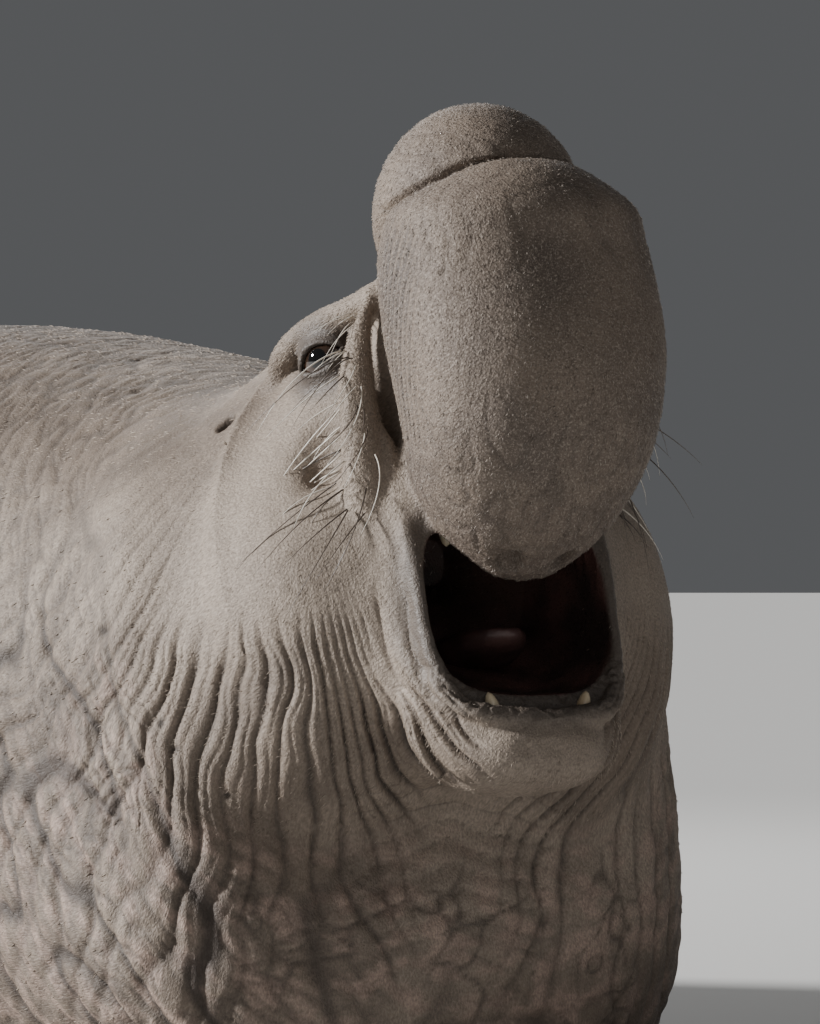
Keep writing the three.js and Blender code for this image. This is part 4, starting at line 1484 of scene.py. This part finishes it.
# Roots of the long hairs at the inner end of the brow, on the left.
BROW_HAIRS = np.array(
    [(120, -52, 936), (124, -46, 928), (128, -42, 918), (117, -58, 944), (131, -46, 905), (122, -60, 925)],
    dtype=float,
)


def add_whiskers():
    dark = hair_look("whisker_dark", *HAIR_DARK)
    pale = hair_look("whisker_pale", *HAIR_PALE)
    rng = np.random.default_rng(52)
    at = []
    for row in range(PAD_ROWS):
        for column in range(PAD_COLUMNS):
            f = row / (PAD_ROWS - 1)
            at.append((158 - 14 * f, -84 - 7.5 * column - 8 * f, 900 - 168 * f - 4 * column))
    at = np.array(at)
    for side, mirror in (("left", 1), ("right", -1)):
        flip = np.array([mirror, 1, 1])
        roots, ways = nearest_skin((at + rng.normal(scale=2.2, size=at.shape)) * flip)
        roots = roots - ways * HAIR_ROOT_DEPTH
        off, end, reach, radius = WHISKERS
        ends = end * flip + rng.normal(scale=0.22, size=at.shape)
        starts = ways * 0.9 + off * flip + rng.normal(scale=0.12, size=at.shape)
        lengths = rng.uniform(*reach, len(at))
        light = rng.uniform(size=len(at)) < PALE_SHARE
        for name, look, chosen in (("pale", pale, light), ("dark", dark, ~light)):
            strands = (roots[chosen], starts[chosen], ends[chosen], lengths[chosen])
            hair_strands("whiskers_%s_%s" % (name, side), strands, radius, look, rng)
        roots, ways = nearest_skin(BROW_HAIRS * flip)
        off, end, reach, radius = BROW_STRANDS
        ends = end * flip + rng.normal(scale=0.2, size=roots.shape)
        starts = off * flip + rng.normal(scale=0.2, size=roots.shape)
        strands = (roots - ways * HAIR_ROOT_DEPTH, starts, ends, rng.uniform(*reach, len(roots)))
        hair_strands("brow_hairs_" + side, strands, radius, pale, rng)


add_eyes()
add_teeth()
add_tongue()
add_claws()
add_whiskers()


# Camera, level, from the seal's right front, as far off as a long lens.
PICTURE = (820, 1024)
MM_PER_PIXEL = 1.17
CAMERA_AZIMUTH = math.radians(-38)
CAMERA_HEIGHT = 0.71
CAMERA_DISTANCE = 8.0
SENSOR_HEIGHT = 36
FURTHEST_SEEN = 60
HEAD_PIXEL_X = 439


def add_camera():
    toward = Vector((math.sin(CAMERA_AZIMUTH), -math.cos(CAMERA_AZIMUTH), 0))
    right = Vector((math.cos(CAMERA_AZIMUTH), math.sin(CAMERA_AZIMUTH), 0))
    head = Vector((HEAD_X * MM, SHIFT[1] * MM, 0))
    target = head + right * ((PICTURE[0] / 2 - HEAD_PIXEL_X) * MM_PER_PIXEL * MM)
    target.z = CAMERA_HEIGHT
    data = bpy.data.cameras.new("camera")
    camera = link("camera", data)
    camera.location = target + toward * CAMERA_DISTANCE
    camera.rotation_euler = (-toward).to_track_quat("-Z", "Y").to_euler()
    data.sensor_fit = "VERTICAL"
    data.sensor_height = SENSOR_HEIGHT
    data.lens = SENSOR_HEIGHT * CAMERA_DISTANCE / (PICTURE[1] * MM_PER_PIXEL * MM)
    data.clip_end = FURTHEST_SEEN
    bpy.context.scene.camera = camera


add_camera()


def add_lamp(name, kind, travel, strength, place=(0, 0, 0), **settings):
    """A lamp whose light travels one way."""
    data = bpy.data.lights.new(name, kind)
    data.energy = strength
    for setting, value in settings.items():
        setattr(data, setting, value)
    lamp = link(name, data)
    lamp.location = place
    lamp.rotation_euler = Vector(travel).to_track_quat("-Z", "Y").to_euler()


# Light comes from the picture's left, a little from above, and the front is filled in softly.
add_lamp("key", "SUN", travel=(0.82, -0.56, -0.36), strength=8.0, angle=math.radians(6))
add_lamp("fill", "AREA", travel=(1.5, 5.4, -2.3), strength=26, place=(-1.5, -7.0, 2.8), size=4.0)
add_lamp("back", "AREA", travel=(-3.0, -4.0, -3.6), strength=120, place=(3.0, 4.0, 4.2), size=3.0)

WORLD_COLOR = (0.75, 0.77, 0.8, 1)
WORLD_STRENGTH = 0.13
FLOOR_REACH = 70
FLOOR_COLOR = (0.62, 0.61, 0.59, 1)


def add_world():
    world = bpy.data.worlds.new("world")
    world.use_nodes = True
    background = world.node_tree.nodes["Background"]
    background.inputs["Color"].default_value = WORLD_COLOR
    background.inputs["Strength"].default_value = WORLD_STRENGTH
    bpy.context.scene.world = world


def add_floor():
    corners = [(x * FLOOR_REACH, y * FLOOR_REACH, 0) for x, y in ((-1, -1), (1, -1), (1, 1), (-1, 1))]
    mesh = bpy.data.meshes.new("floor")
    mesh.from_pydata(corners, [], [(0, 1, 2, 3)])
    pale = bpy.data.materials.new("pale_floor")
    pale.use_nodes = True
    shader = pale.node_tree.nodes["Principled BSDF"]
    shader.inputs["Base Color"].default_value = FLOOR_COLOR
    shader.inputs["Roughness"].default_value = 0.85
    mesh.materials.append(pale)
    link("floor", mesh)


add_world()
add_floor()
